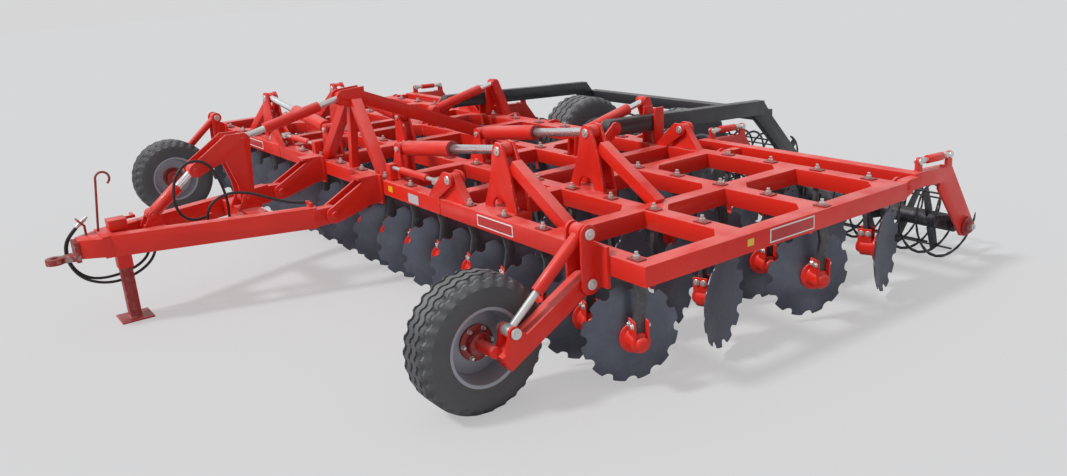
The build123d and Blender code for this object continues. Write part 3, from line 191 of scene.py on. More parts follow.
def dressed(node, name, finishes, edge=0.004, worn=None):
    """A copy of a frame node, its triangles joined to faces and its edges rounded."""
    source = frame["nodes"][node]
    piece = source.copy()
    piece.data = source.data.copy()
    piece.name = piece.data.name = name
    bpy.context.scene.collection.objects.link(piece)
    piece.parent = None
    piece.matrix_world = source.matrix_world.copy()
    only(piece)
    bpy.ops.object.transform_apply(location=True, rotation=True, scale=True)
    bpy.ops.object.mode_set(mode="EDIT")
    bpy.ops.mesh.select_all(action="SELECT")
    bpy.ops.mesh.remove_doubles(threshold=WELD_GAP)
    bpy.ops.mesh.dissolve_limited(angle_limit=FLAT_ANGLE)
    bpy.ops.mesh.normals_make_consistent(inside=False)
    bpy.ops.object.mode_set(mode="OBJECT")
    bevel = piece.modifiers.new("Rounded edges", "BEVEL")
    bevel.width = edge
    bevel.segments = 2
    bevel.limit_method = "ANGLE"
    bevel.angle_limit = EDGE_ANGLE
    bevel.use_clamp_overlap = True
    if worn:
        bevel.material = len(finishes)
    piece.data.materials.clear()
    for made in [*finishes, worn or finishes[0]]:
        piece.data.materials.append(made)
    apply_all(piece)
    bpy.ops.object.shade_smooth_by_angle(angle=SMOOTH_ANGLE)
    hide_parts(node)
    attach(piece, body_of[node])
    return piece


for node in ("centre_frame", "frame_brackets", "mast", "hitch_brackets", "drawbar", "jack_sleeve",
             "bell_crank", "transport_axle", "level_barrel", "lift_barrels"):
    dressed(node, f"painted_{node}", [red_paint], worn=red_edges)
for node in ("wing_frame", "fold_towers", "wheel_arm", "roller_frame", "spindle_sleeve"):
    for side in ("left", "right"):
        dressed(f"{node}_{side}", f"painted_{node}_{side}", [red_paint], worn=red_edges)
dressed("roller_frame_centre", "painted_roller_frame_centre", [grey_paint], worn=grey_edges)


# Hose stand: a thin steel rod with a hook at its top, and the holder of the couplers. It is
# painted dark red, like the jack leg, the wheel hubs and the roller bearings.
maroon_paint = finish("Dark red paint", (0.34, 0.014, 0.010), (0.22, 0.010, 0.008), STEEL, DUST,
                      rough=0.34, coat=0.2, worn=0.2)
dressed("hose_stand", "painted_hose_stand", [maroon_paint], edge=0.0008)


# Turnbuckles, spindles and the levelling link: red sleeves that screw zinc-plated rods in and
# out. The rods are drawn plain, without their threads.
LINK_ENDS = ((0, -1.765, 1.140), (0, -0.927, 1.332))
LINK_THREADS = ((0.06, 0.232), (0.768, 0.94))
SLEEVE_START, SLEEVE_END = 1.620, 1.80
zinc = finish("Zinc plate", (0.70, 0.70, 0.68), (0.54, 0.54, 0.54), (0.42, 0.40, 0.37), DUST,
              rough=0.28, metal=0.75, bump=0.05, size=3.0)


def second_finish(piece, picked):
    """Gives the second finish to the faces whose centre the test picks."""
    for face in piece.data.polygons:
        if picked(face.center):
            face.material_index = 1


def along(start, end):
    """How far a point lies along a line, from 0 at its start to 1 at its end."""
    run = Vector(end) - Vector(start)
    return lambda point: (point - Vector(start)).dot(run) / run.length_squared


share = along(*LINK_ENDS)
link = dressed("level_link", "levelling_link", [red_paint, zinc], edge=0.002)
second_finish(link, lambda point: any(low < share(point) < high for low, high in LINK_THREADS))
for side in ("left", "right"):
    dressed(f"spindle_screw_{side}", f"spindle_thread_{side}", [zinc], edge=0.001)
    buckles = dressed(f"roller_turnbuckles_{side}", f"turnbuckles_{side}", [zinc, red_paint], edge=0.001)
    second_finish(buckles, lambda point: SLEEVE_START < point.y < SLEEVE_END)


# Fold, lift and levelling cylinders: red steel barrels and chromed rods with welded red eyes.
# The fold barrels end in a dark red gland and sit on zinc-plated pins.
FOLD_BASE, FOLD_TIP, GLAND_START, BASE_PIN = (0.670, 0.985), (2.035, 1.145), 0.700, 0.0215
FOLD_EYE, SMALL_EYE, LEVEL_TIP, LIFT_TIP = 0.056, 0.048, (-2.132, 0.975), (1.215, 1.095)
chrome = finish("Chromed rod", (0.86, 0.87, 0.89), (0.76, 0.77, 0.79), (0.6, 0.6, 0.6), DUST,
                rough=0.12, metal=0.9, dust_and_sheen_share=0.03, bump=0.02, size=2.0)
for side, sign in (("left", 1), ("right", -1)):
    base, tip = (Vector((sign * x, 0, z)) for x, z in (FOLD_BASE, FOLD_TIP))
    share, span = along(base, tip), (tip - base).length
    barrels = dressed(f"fold_barrels_{side}", f"fold_cylinder_barrels_{side}",
                      [red_paint, maroon_paint, zinc], edge=0.002)
    for face in barrels.data.polygons:
        spot = Vector((face.center.x, 0, face.center.z))
        if share(spot) * span > GLAND_START:
            face.material_index = 1
        elif (spot - base).length < BASE_PIN:
            face.material_index = 2
    rods = dressed(f"fold_rods_{side}", f"fold_cylinder_rods_{side}", [chrome, red_paint], edge=0.002)
    second_finish(rods, lambda point: hypot(point.x - tip.x, point.z - tip.z) < FOLD_EYE)
for node, tip in (("level_rod", LEVEL_TIP), ("lift_rods", LIFT_TIP)):
    rods = dressed(node, f"chromed_{node}", [chrome, red_paint], edge=0.0015)
    second_finish(rods, lambda point: hypot(point.y - tip[0], point.z - tip[1]) < SMALL_EYE)


# Shanks: swept arms of dark forged steel, one to a disc. Each is clamped to its beam, and the
# ears of its disc's hub are bolted to its lower end.
shank_steel = finish("Dark forged steel", (0.095, 0.095, 0.10), (0.055, 0.055, 0.06),
                     (0.24, 0.23, 0.22), DUST, rough=0.42, metal=0.4, worn=0.2)
for section in ("left", "centre", "right"):
    dressed(f"shanks_{section}", f"shanks_forged_{section}", [shank_steel])


# Discs: dished plates of hardened steel with twelve round notches, blue-grey and worn bright in
# spots. One is turned, notched and copied to every hub.
HALF_WIDTH, PITCH, AXIS_Z, GANG, HUB_REACH = 3.5, 0.4, 0.315, radians(20), 0.078
# Each row of discs: its Y, how far its first disc is from the left side, the side that it is
# turned to, and how many discs it has on the left, centre and right sections
ROWS = ((-0.905, 0.123, 1, (5, 8, 4)), (-0.205, 0.343, -1, (5, 7, 5)),
        (0.495, 0.060, 1, (5, 8, 5)), (1.195, 0.233, -1, (5, 7, 5)))
SECTIONS = (("left", "wing_left"), ("centre", "centre"), ("right", "wing_right"))
DISC_EDGE, DISC_CENTRE, DISC_DEPTH, DISC_WALL, DISC_SIDES = 0.280, 0.085, 0.050, 0.006, 144
DISC_RINGS = (0.0, DISC_CENTRE, 0.15, 0.21, 0.245, DISC_EDGE)
NOTCH_COUNT, NOTCH_RADIUS, NOTCH_DEPTH = 12, 0.034, 0.033
disc_steel = finish("Blue-grey disc steel", (0.125, 0.137, 0.175), (0.055, 0.062, 0.085),
                    (0.30, 0.31, 0.33), DUST, rough=0.27, metal=0.6, dust_and_sheen_share=0.04, worn=0.05)


def turned(name, profile, sides):
    """A closed turned piece about X from the (x, radius) corners of its half section."""
    bpy.ops.object.select_all(action="DESELECT")
    bpy.ops.mesh.primitive_circle_add(vertices=len(profile), radius=0.1)
    piece = bpy.context.active_object
    piece.name = piece.data.name = name
    for vertex, (x, radius) in zip(piece.data.vertices, profile):
        vertex.co = (x, 0, radius)
    bpy.ops.object.mode_set(mode="EDIT")
    bpy.ops.mesh.select_all(action="SELECT")
    bpy.ops.mesh.spin(steps=sides, angle=2 * pi, center=(0, 0, 0), axis=(1, 0, 0))
    bpy.ops.mesh.select_all(action="SELECT")
    bpy.ops.mesh.remove_doubles(threshold=0.00004)
    bpy.ops.mesh.dissolve_degenerate(threshold=0.00001)
    bpy.ops.mesh.select_all(action="SELECT")
    bpy.ops.mesh.normals_make_consistent(inside=False)
    bpy.ops.object.mode_set(mode="OBJECT")
    return piece


def many(model, name, places, finishes, body, *replaced, smooth=SMOOTH_ANGLE):
    """Copies of a model at each place, as one piece on a body, in place of CAD nodes."""
    copies = []
    for spot in places:
        copy = model.copy()
        copy.data = model.data.copy()
        copy.data.transform(spot)
        bpy.context.scene.collection.objects.link(copy)
        copies.append(copy)
    only(*copies)
    if len(copies) > 1:
        bpy.ops.object.join()
    piece = bpy.context.view_layer.objects.active
    piece.name = piece.data.name = name
    for made in finishes:
        piece.data.materials.append(made)
    bpy.ops.object.shade_smooth_by_angle(angle=smooth)
    if replaced:
        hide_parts(*replaced)
    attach(piece, body)
    return piece


def tool_places(section):
    """Where the hubs of one section are, each turned by the gang angle about its shank."""
    places = []
    for y, first, side, counts in ROWS:
        before = sum(counts[:section])
        turn = Matrix.Rotation(-GANG if side > 0 else pi + GANG, 4, "Z")
        for n in range(before, before + counts[section]):
            places.append(Matrix.Translation((HALF_WIDTH - first - PITCH * n, y, AXIS_Z)) @ turn)
    return places


def dish_depth(radius):
    """How far back the disc's face lies at a radius, outside its flat centre."""
    return -DISC_DEPTH * max(0.0, (radius**2 - DISC_CENTRE**2) / (DISC_EDGE**2 - DISC_CENTRE**2))


profile = [(dish_depth(radius), radius) for radius in DISC_RINGS]
profile += [(x - DISC_WALL, radius) for x, radius in profile[::-1]]
disc = turned("disc_model", profile, DISC_SIDES)
for vertex in disc.data.vertices:
    radius = hypot(vertex.co.y, vertex.co.z)
    if radius > DISC_EDGE - 0.01:
        turn = atan2(vertex.co.z, vertex.co.y) / (2 * pi) * NOTCH_COUNT
        arc = ((turn + 0.5) % 1.0 - 0.5) * 2 * pi * radius / NOTCH_COUNT
        cut = sqrt(max(0.0, NOTCH_RADIUS**2 - arc**2))
        inner = radius - min(cut, NOTCH_DEPTH)
        shrink, behind = inner / radius, vertex.co.x - dish_depth(radius)
        vertex.co = (dish_depth(inner) + behind, vertex.co.y * shrink, vertex.co.z * shrink)
disc.data.transform(Matrix.Translation((-HUB_REACH, 0, 0)))
for section, (name, body) in enumerate(SECTIONS):
    many(disc, f"notched_discs_{name}", tool_places(section), [disc_steel], body, f"discs_{name}",
         smooth=radians(30))
bpy.data.objects.remove(disc)


# Hubs: red cast housings that hold each disc on its axle, with a flange on the disc, a domed
# cap on the outer end, and two ears bolted to the shank.
HUB_SECTION = [(-0.0777, 0), (-0.0777, 0.084), (-0.070, 0.087), (-0.062, 0.085), (-0.056, 0.062),
               (-0.046, 0.057), (0.022, 0.057), (0.030, 0.052), (0.034, 0.042), (0.045, 0.040),
               (0.051, 0.036), (0.058, 0.029), (0.062, 0.017), (0.064, 0.0)]
EAR_HALF, EAR_INNER, EAR_OUTER, EAR_TOP = 0.045, 0.0303, 0.0425, 0.130
EAR_BOLT, EAR_BOLT_X, EAR_BOLT_Y, EAR_BOLT_Z = 0.013, 0.022, 0.042, 0.100


def shaped_block(name, x, y, z, edge):
    """A block between low and high values, its edges rounded, made from a cube."""
    bpy.ops.object.select_all(action="DESELECT")
    bpy.ops.mesh.primitive_cube_add(size=1)
    piece = bpy.context.active_object
    piece.name = piece.data.name = name
    for vertex in piece.data.vertices:
        vertex.co = [low if value < 0 else high for value, (low, high) in zip(vertex.co, (x, y, z))]
    if edge:
        bpy.ops.object.mode_set(mode="EDIT")
        bpy.ops.mesh.select_all(action="SELECT")
        bpy.ops.mesh.bevel(offset=edge, segments=2)
        bpy.ops.object.mode_set(mode="OBJECT")
    return piece


def joined(name, *pieces):
    """One piece made of several, with the first one's place and finishes."""
    only(*pieces)
    bpy.ops.object.join()
    piece = bpy.context.view_layer.objects.active
    piece.name = piece.data.name = name
    return piece


def assembled(name, finishes, *parts):
    """One piece made of several, each given with the number of its finish."""
    for piece, number in parts:
        for made in finishes:
            piece.data.materials.append(made)
        for face in piece.data.polygons:
            face.material_index = number
    return joined(name, *(piece for piece, number in parts))


def bolt(name, radius, height, washer=1.5):
    """A hexagon head on a washer, standing on the YZ plane along +X."""
    rim = radius * washer
    base = turned(name, [(0, 0), (0, rim), (0.002, rim), (0.003, rim * 0.94), (0.003, 0)], 16)
    corners = [(0.003, 0), (0.003, radius), (height - 0.002, radius), (height, radius * 0.86), (height, 0)]
    return joined(name, base, turned(name + "_head", corners, 6))


parts = [(turned("hub_model", HUB_SECTION, 28), 0)]
for side in (-1, 1):
    ear_y = sorted((side * EAR_INNER, side * EAR_OUTER))
    parts.append((shaped_block("ear", (-EAR_HALF, EAR_HALF), ear_y, (0.0, EAR_TOP), 0.004), 0))
for side in (-1, 1):
    for x in (-EAR_BOLT_X, EAR_BOLT_X):
        head = bolt("ear_bolt", EAR_BOLT, EAR_BOLT)
        spot = Matrix.Translation((x, side * EAR_BOLT_Y, EAR_BOLT_Z))
        head.data.transform(spot @ Matrix.Rotation(side * pi / 2, 4, "Z"))
        parts.append((head, 1))
hub = assembled("hub_model", [red_paint, zinc], *parts)
for section, (name, body) in enumerate(SECTIONS):
    many(hub, f"bearing_hubs_{name}", tool_places(section), [], body, f"hubs_{name}")
bpy.data.objects.remove(hub)


# Clamp studs of the shanks: zinc-plated studs that come up through the beam. On its top each
# has a dark red plate and a nut, and the end of the stud stands out.
FRAME_TOP, PLATE_TOP = 0.770, 0.778
NUT_SECTION = [(0.0, 0), (0.0, 0.019), (0.016, 0.019), (0.018, 0.016), (0.018, 0.011),
               (0.034, 0.011), (0.036, 0.009), (0.036, 0)]
plate = shaped_block("stud_model", (-0.045, 0.045), (-0.030, 0.030), (FRAME_TOP, PLATE_TOP), 0.002)
nut = turned("nut", NUT_SECTION, 6)
nut.data.transform(Matrix.Translation((0, 0, PLATE_TOP)) @ Matrix.Rotation(-pi / 2, 4, "Y"))
stud = assembled("stud_model", [maroon_paint, zinc], (plate, 0), (nut, 1))
for section, (name, body) in enumerate(SECTIONS):
    spots = [Matrix.Translation((*spot.translation.xy, 0)) for spot in tool_places(section)]
    many(stud, f"shank_studs_{name}", spots, [], body)
bpy.data.objects.remove(stud)


# Tyres: black moulded rubber with three zigzag grooves, shoulder blocks and a thin line on the
# wall. The gauge wheels and the larger transport wheels share the pattern.
TYRE_STEPS, GROOVE_DEPTH, GROOVE_SHIFT, BLOCK_CUT = 120, 0.010, 0.009, 0.014
# Each pair of wheels: tyre radius, rim radius, tyre width, axle bore, and the left wheel's middle
WHEELS = (("gauge", 0.380, 0.205, 0.264, 0.032, (2.890, -1.610, 0.380)),
          ("transport", 0.435, 0.215, 0.400, 0.040, (0.740, 2.055, 0.435)))
rubber = finish("Tyre rubber", (0.080, 0.080, 0.084), (0.052, 0.052, 0.055), (0.12, 0.12, 0.12),
                (0.30, 0.30, 0.31), rough=0.6, dust_and_sheen_share=0.7, bump=0.2)


def tyre(name, radius, rim, width, body, node, place):
    """A tyre about X with its grooves pressed in, at the wheel's middle."""
    half, wall = width / 2, radius - rim
    flank = [(half - 0.020, rim), (half - 0.006, rim + 0.25 * wall), (half, rim + 0.45 * wall),
             (half - 0.001, rim + 0.50 * wall), (half, rim + 0.52 * wall),
             (half - 0.006, rim + 0.70 * wall), (half - 0.018, radius - 0.030),
             (half - 0.032, radius - 0.012), (half - 0.044, radius - 0.010)]
    tread = [(half - 0.050, radius - 0.002)]
    for groove in (half * 0.42, 0.0, -half * 0.42):
        tread += [(groove + 0.011, radius), (groove + 0.008, radius - GROOVE_DEPTH),
                  (groove - 0.008, radius - GROOVE_DEPTH), (groove - 0.011, radius)]
    tread.append((-half + 0.050, radius - 0.002))
    made = turned("tyre_model", flank + tread + [(-x, r) for x, r in flank[::-1]], TYRE_STEPS)
    for vertex in made.data.vertices:
        ring, turn = hypot(vertex.co.y, vertex.co.z), atan2(vertex.co.z, vertex.co.y)
        step = round(turn / (2 * pi) * TYRE_STEPS) % TYRE_STEPS
        if abs(vertex.co.x) < half - 0.052 and ring > radius - 0.02:
            vertex.co.x += GROOVE_SHIFT if step % 4 < 2 else -GROOVE_SHIFT
        elif ring > radius - 0.032 and step % 4 < 2:
            shrink = (ring - BLOCK_CUT) / ring
            vertex.co.y *= shrink
            vertex.co.z *= shrink
    many(made, name, [Matrix.Translation(place)], [rubber], body, node, smooth=radians(24))
    bpy.data.objects.remove(made)


for side, sign in (("left", 1), ("right", -1)):
    for name, radius, rim, width, bore, (x, y, z) in WHEELS:
        tyre(f"{name}_tread_{side}", radius, rim, width, f"{name}_wheel_{side}",
             f"{name}_tyre_{side}", (sign * x, y, z))


# Wheel rims: pressed grey steel dishes, each bolted by six zinc-plated nuts to a dark red hub
# that turns on the stub axle.
RIM_NUTS, NUT_CIRCLE, NUT_FACE, BORE_GAP = 6, 0.085, 0.023, 0.0006
rim_grey = finish("Grey rim paint", (0.34, 0.35, 0.39), (0.22, 0.23, 0.26), STEEL, DUST, rough=0.34,
                  metal=0.3)


def facing_out(sign):
    """Turns a piece along +X to face out on the left side (1) or on the right side (-1)."""
    return Matrix.Rotation(0 if sign > 0 else pi, 4, "Z")


def wheel_rim(name, radius, width, bore, body, node, place, sign):
    """A rim about X with its dish, hub and nuts, at the wheel's middle."""
    half = width / 2
    bead = [(half - 0.018, radius - 0.004), (half - 0.014, radius + 0.014),
            (half - 0.020, radius + 0.015), (half - 0.028, radius), (0.4 * half, radius - 0.012)]
    web = [(-half + 0.05, radius - 0.016), (-0.02, radius - 0.030), (-0.012, radius - 0.06),
           (-0.004, 0.11), (-0.004, bore + 0.02), (0.006, bore + 0.02), (0.006, 0.11),
           (-0.002, radius - 0.06), (-0.006, radius - 0.028), (half - 0.05, radius - 0.016)]
    dish = turned("dish", bead + [(-x, r) for x, r in bead[::-1]] + web, 56)
    core = turned("core", [(-0.068, bore + BORE_GAP), (-0.068, 0.072), (-0.006, 0.074),
                           (-0.005, 0.10), (0.020, 0.10), (0.024, 0.094), (0.026, 0.070),
                           (0.062, 0.064), (0.066, 0.058), (0.066, bore + BORE_GAP)], 40)
    parts = [(dish, 0), (core, 1)]
    for n in range(RIM_NUTS):
        nut = bolt("rim_bolt", 0.011, 0.018, 1.2)
        turn = Matrix.Rotation(n * 2 * pi / RIM_NUTS, 4, "X")
        nut.data.transform(turn @ Matrix.Translation((NUT_FACE, NUT_CIRCLE, 0)))
        parts.append((nut, 2))
    model = assembled("rim_model", [rim_grey, maroon_paint, zinc], *parts)
    many(model, name, [Matrix.Translation(place) @ facing_out(sign)], [], body, node)
    bpy.data.objects.remove(model)


for side, sign in (("left", 1), ("right", -1)):
    for name, radius, rim, width, bore, (x, y, z) in WHEELS:
        wheel_rim(f"{name}_wheel_disc_{side}", rim, width, bore, f"{name}_wheel_{side}",
                  f"{name}_rim_{side}", (sign * x, y, z), sign)


# Rollers: two bars wound as a spring round a dark tube, carried on wide spokes and tied by four
# thin rods. The bars are set straight with their spokes and then twisted together.
ROLLER_AXIS, WING_ROLLER_Y, CENTRE_ROLLER_Y, LEAD, SLICES_PER_TURN = 0.270, 2.155, 2.925, 0.28, 20
BAR_CIRCLE, BAR_RADIAL, BAR_SIDE, TIE_COUNT, TIE_RADIUS, TIE_START = 0.256, 0.010, 0.034, 4, 0.007, 0.4
SPOKE_ROOT, SPOKE_HALF, SPOKE_TIP_SHARE, END_MARGIN = 0.050, 0.045, 0.4, 0.012
TUBE_RADIUS, STUB_RADIUS, STUB_LENGTH = 0.0605, 0.0248, 0.069
roller_paint = finish("Black roller paint", (0.034, 0.036, 0.044), (0.020, 0.021, 0.026),
                      (0.30, 0.30, 0.31), DUST, rough=0.38, metal=0.4, worn=0.15)


def sliced_bar(length, radius, slices):
    """A bar along X cut into slices, for the twist to follow."""
    bpy.ops.object.select_all(action="DESELECT")
    bpy.ops.mesh.primitive_cylinder_add(vertices=8, radius=radius, depth=length, end_fill_type="NGON")
    bar = bpy.context.active_object
    bar.data.transform(Matrix.Rotation(pi / 2, 4, "Y"))
    bpy.ops.object.mode_set(mode="EDIT")
    for step in range(1, slices):
        bpy.ops.mesh.select_all(action="SELECT")
        bpy.ops.mesh.bisect(plane_co=(-length / 2 + step * length / slices, 0, 0), plane_no=(1, 0, 0))
    bpy.ops.object.mode_set(mode="OBJECT")
    return bar


def straight_spring(length):
    """One of the bars with its spokes, not yet twisted, on the +Y side of the roller."""
    bar = sliced_bar(length, 1.0, round(length / LEAD * SLICES_PER_TURN))
    for vertex in bar.data.vertices:
        vertex.co.y = vertex.co.y * BAR_RADIAL + BAR_CIRCLE
        vertex.co.z *= BAR_SIDE
    parts = [bar]
    spokes = round(length / (LEAD * 2 / 3))
    for s in range(spokes + 1):
        at = -length / 2 + END_MARGIN + s * (length - 2 * END_MARGIN) / spokes
        spoke = shaped_block("spoke", (at - 0.004, at + 0.004), (SPOKE_ROOT, BAR_CIRCLE),
                             (-SPOKE_HALF, SPOKE_HALF), 0.0)
        for vertex in spoke.data.vertices:
            if vertex.co.y > BAR_CIRCLE / 2:
                vertex.co.z *= SPOKE_TIP_SHARE
        parts.append(spoke)
    return parts


def roller(section, x, y, hand):
    """A roller between two X values, wound to one hand (1) or to the other (-1)."""
    length = x[1] - x[0]
    parts = []
    for n in range(2):
        for part in straight_spring(length):
            part.data.transform(Matrix.Rotation(n * pi, 4, "X"))
            parts.append(part)
    model = joined("roller_model", *parts)
    twist = model.modifiers.new("Spiral", "SIMPLE_DEFORM")
    twist.deform_method = "TWIST"
    twist.deform_axis = "X"
    twist.angle = hand * 2 * pi * length / LEAD
    apply_all(model)
    ties = []
    for n in range(TIE_COUNT):
        tie = sliced_bar(length - LEAD / 2, TIE_RADIUS, 1)
        turn = Matrix.Rotation(n * 2 * pi / TIE_COUNT + TIE_START, 4, "X")
        tie.data.transform(turn @ Matrix.Translation((0, BAR_CIRCLE - BAR_RADIAL, 0)))
        ties.append(tie)
    end, stub_end = length / 2, length / 2 + STUB_LENGTH
    half_tube = [(end - 0.004, TUBE_RADIUS), (end, 0.058), (end + 0.004, STUB_RADIUS),
                 (stub_end, STUB_RADIUS - 0.0002), (stub_end, 0)]
    tube = turned("tube", [(-x, r) for x, r in half_tube[::-1]] + half_tube, 32)
    model = joined("roller_model", model, tube, *ties)
    bpy.ops.object.mode_set(mode="EDIT")
    bpy.ops.mesh.select_all(action="SELECT")
    bpy.ops.mesh.normals_make_consistent(inside=False)
    bpy.ops.object.mode_set(mode="OBJECT")
    spot = Matrix.Translation((sum(x) / 2, y, ROLLER_AXIS))
    many(model, f"spiral_roller_{section}", [spot], [roller_paint], f"roller_{section}",
         f"roller_{section}")
    bpy.data.objects.remove(model)


roller("left", (1.650, 3.330), WING_ROLLER_Y, 1)
roller("right", (-3.330, -1.650), WING_ROLLER_Y, -1)
roller("centre", (-1.170, 1.170), CENTRE_ROLLER_Y, 1)


# Bearings of the wing rollers: cast housings on the end plates' outer faces, painted dark red,
# each closed by a zinc-plated nut on the shaft's end.
END_PLATE_FACE = 3.410
HOUSING_SECTION = [(0, 0), (0, 0.066), (0.012, 0.066), (0.016, 0.062), (0.018, 0.050),
                   (0.034, 0.046), (0.038, 0.040), (0.038, 0)]
SHAFT_NUT_SECTION = [(0.037, 0), (0.037, 0.024), (0.056, 0.024), (0.058, 0.021), (0.058, 0.012),
                     (0.064, 0.012), (0.064, 0)]
for side, sign in (("left", 1), ("right", -1)):
    housing, nut = turned("housing", HOUSING_SECTION, 36), turned("nut", SHAFT_NUT_SECTION, 6)
    bearing = assembled("bearing", [maroon_paint, zinc], (housing, 0), (nut, 1))
    spot = Matrix.Translation((sign * END_PLATE_FACE, WING_ROLLER_Y, ROLLER_AXIS)) @ facing_out(sign)
    many(bearing, f"roller_bearing_{side}", [spot], [], f"roller_frame_{side}")
    bpy.data.objects.remove(bearing)


# Jack leg and foot: square tube welded to a plate, painted dark red. Tow eye: a forged steel
# ring with its paint worn off in spots.
eye_steel = finish("Worn forged steel", (0.40, 0.020, 0.012), (0.11, 0.10, 0.09),
                   (0.32, 0.31, 0.30), DUST, rough=0.4, metal=0.3, worn=0.8)
dressed("jack_leg", "jack_leg_tube", [maroon_paint], edge=0.003, worn=red_edges)
dressed("tow_eye", "tow_ring", [eye_steel], edge=0.005)


# Hydraulic hoses: black rubber with steel ends. Two loop behind the jack to their couplers on
# the holder, and two run on the drawbar to the levelling and fold cylinders.
HOSE_RADIUS = 0.010
COUPLER_TURN = Vector((0, 0.060, 0.050)).normalized().to_track_quat("X", "Z").to_matrix().to_4x4()
COUPLER_SECTION = [(0, 0), (0, 0.0125), (0.004, 0.0138), (0.018, 0.0138), (0.020, 0.0118),
                   (0.028, 0.0118), (0.030, 0.0136), (0.034, 0.0128), (0.038, 0.0136),
                   (0.042, 0.0128), (0.046, 0.0136), (0.052, 0.0136), (0.055, 0.0105),
                   (0.072, 0.0098), (0.075, 0.0085), (0.075, 0)]
# Each hose: its length in metres, what it ends in, and its route in millimetres
HOSES = {
    "hose_coupler_outer": (1.05, "connector", [
        (-84, -2465, 500), (-84, -2465, 438), (-84, -2500, 372), (-84, -2560, 320),
        (-84, -2640, 285), (-84, -2728, 266), (-84, -2815, 268), (-84, -2895, 292),
        (-84, -2968, 337), (-84, -3020, 408), (-84, -3046, 492), (-84, -3044, 580),
        (-84, -3010, 655), (-84, -2950, 705)]),
    "hose_coupler_inner": (0.99, "connector", [
        (-112, -2500, 502), (-112, -2500, 440), (-112, -2532, 386), (-112, -2590, 342),
        (-112, -2668, 316), (-112, -2752, 303), (-112, -2835, 302), (-112, -2912, 318),
        (-112, -2978, 362), (-112, -3022, 432), (-112, -3038, 515), (-112, -3026, 598),
        (-112, -2982, 663), (-112, -2922, 713)]),
    "hose_cylinder": (1.16, "object", [
        (125, -2118, 650), (125, -2180, 634), (125, -2255, 650), (125, -2306, 706),
        (125, -2328, 785), (125, -2322, 870), (125, -2300, 950), (125, -2256, 1015),
        (125, -2192, 1056), (125, -2116, 1056), (125, -2054, 1014), (125, -2012, 944),
        (125, -1984, 860), (125, -1968, 775), (125, -1961, 690), (125, -1966, 612)]),
    "hose_drawbar": (0.82, "object", [
        (200, -2140, 617), (200, -2140, 670), (205, -2118, 730), (215, -2062, 780),
        (235, -1984, 806), (262, -1898, 804), (296, -1812, 780), (335, -1730, 742),
        (378, -1650, 708), (420, -1572, 686), (454, -1502, 680)]),
}
hose_rubber = finish("Black hose", (0.016, 0.016, 0.018), (0.010, 0.010, 0.011), (0.05, 0.05, 0.05),
                     DUST, rough=0.38, dust_and_sheen_share=0.04, bump=0.1, size=4.0)
for node, (length, far_end, route) in HOSES.items():
    curve = bpy.data.curves.new(f"rubber_{node}", "CURVE")
    curve.dimensions = "3D"
    line = curve.splines.new("NURBS")
    line.points.add(len(route) - 1)
    for point, (x, y, z) in zip(line.points, route):
        point.co = (x / 1000, y / 1000, z / 1000, 1)
    line.order_u = 3
    line.use_endpoint_u = True
    line.resolution_u = 8
    curve.bevel_depth = HOSE_RADIUS
    curve.bevel_resolution = 4
    curve.use_fill_caps = True
    curve.materials.append(hose_rubber)
    piece = bpy.data.objects.new(f"rubber_{node}", curve)
    bpy.context.scene.collection.objects.link(piece)
    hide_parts(node)
    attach(piece, "drawbar")
    if far_end == "connector":
        coupler = turned("coupler", COUPLER_SECTION, 28)
        end = Matrix.Translation(Vector(route[-1]) / 1000) @ COUPLER_TURN
        many(coupler, f"coupler_of_{node}", [end], [zinc], "drawbar", "hose_couplers")
        bpy.data.objects.remove(coupler)


# Pins of the folding gear and of the gauge wheels' arms, turned and zinc-plated: their heads
# show on the towers' eyes, the hinge lugs, the arms' guide plates and the spindles' lugs.
PIN_SECTION = [(-0.002, 0), (-0.002, 0.030), (0.006, 0.030), (0.009, 0.027), (0.009, 0.012),
               (0.014, 0.011), (0.014, 0)]
TOWER_ROWS, TOWER_REACH, HINGE_X, HINGE_Z, HINGE_REACH = (-0.775, -0.075), 0.056, 1.610, 0.920, 0.055
ARM_X, GUIDE_PINS, GUIDE_REACH = 3.092, ((-1.035, 0.617), (-1.037, 0.890)), 0.078
SPINDLE_PINS, SPINDLE_REACH = ((-1.523, 0.478),), 0.065
pin_head = turned("pin_head", PIN_SECTION, 28)
for side, sign in (("left", 1), ("right", -1)):
    spots = [Matrix.Translation((sign * FOLD_TIP[0], y + face * TOWER_REACH, FOLD_TIP[1]))
             @ Matrix.Rotation(face * pi / 2, 4, "Z") for y in TOWER_ROWS for face in (-1, 1)]
    many(pin_head, f"tower_pins_{side}", spots, [zinc], f"wing_{side}")
spots = [Matrix.Translation((sign * HINGE_X, y - HINGE_REACH, HINGE_Z)) @ Matrix.Rotation(-pi / 2, 4, "Z")
         for sign in (1, -1) for y in (ROWS[0][0], ROWS[3][0])]
many(pin_head, "hinge_pins", spots, [zinc], "centre")
for side, sign in (("left", 1), ("right", -1)):
    for name, body, pins, reach in (("arm_pins", "wing", GUIDE_PINS, GUIDE_REACH),
                                    ("spindle_pins", "wheel_arm", SPINDLE_PINS, SPINDLE_REACH)):
        spots = [Matrix.Translation((sign * ARM_X + face * reach, y, z)) @ facing_out(face)
                 for y, z in pins for face in (-1, 1)]
        many(pin_head, f"{name}_{side}", spots, [zinc], f"{body}_{side}")
bpy.data.objects.remove(pin_head)


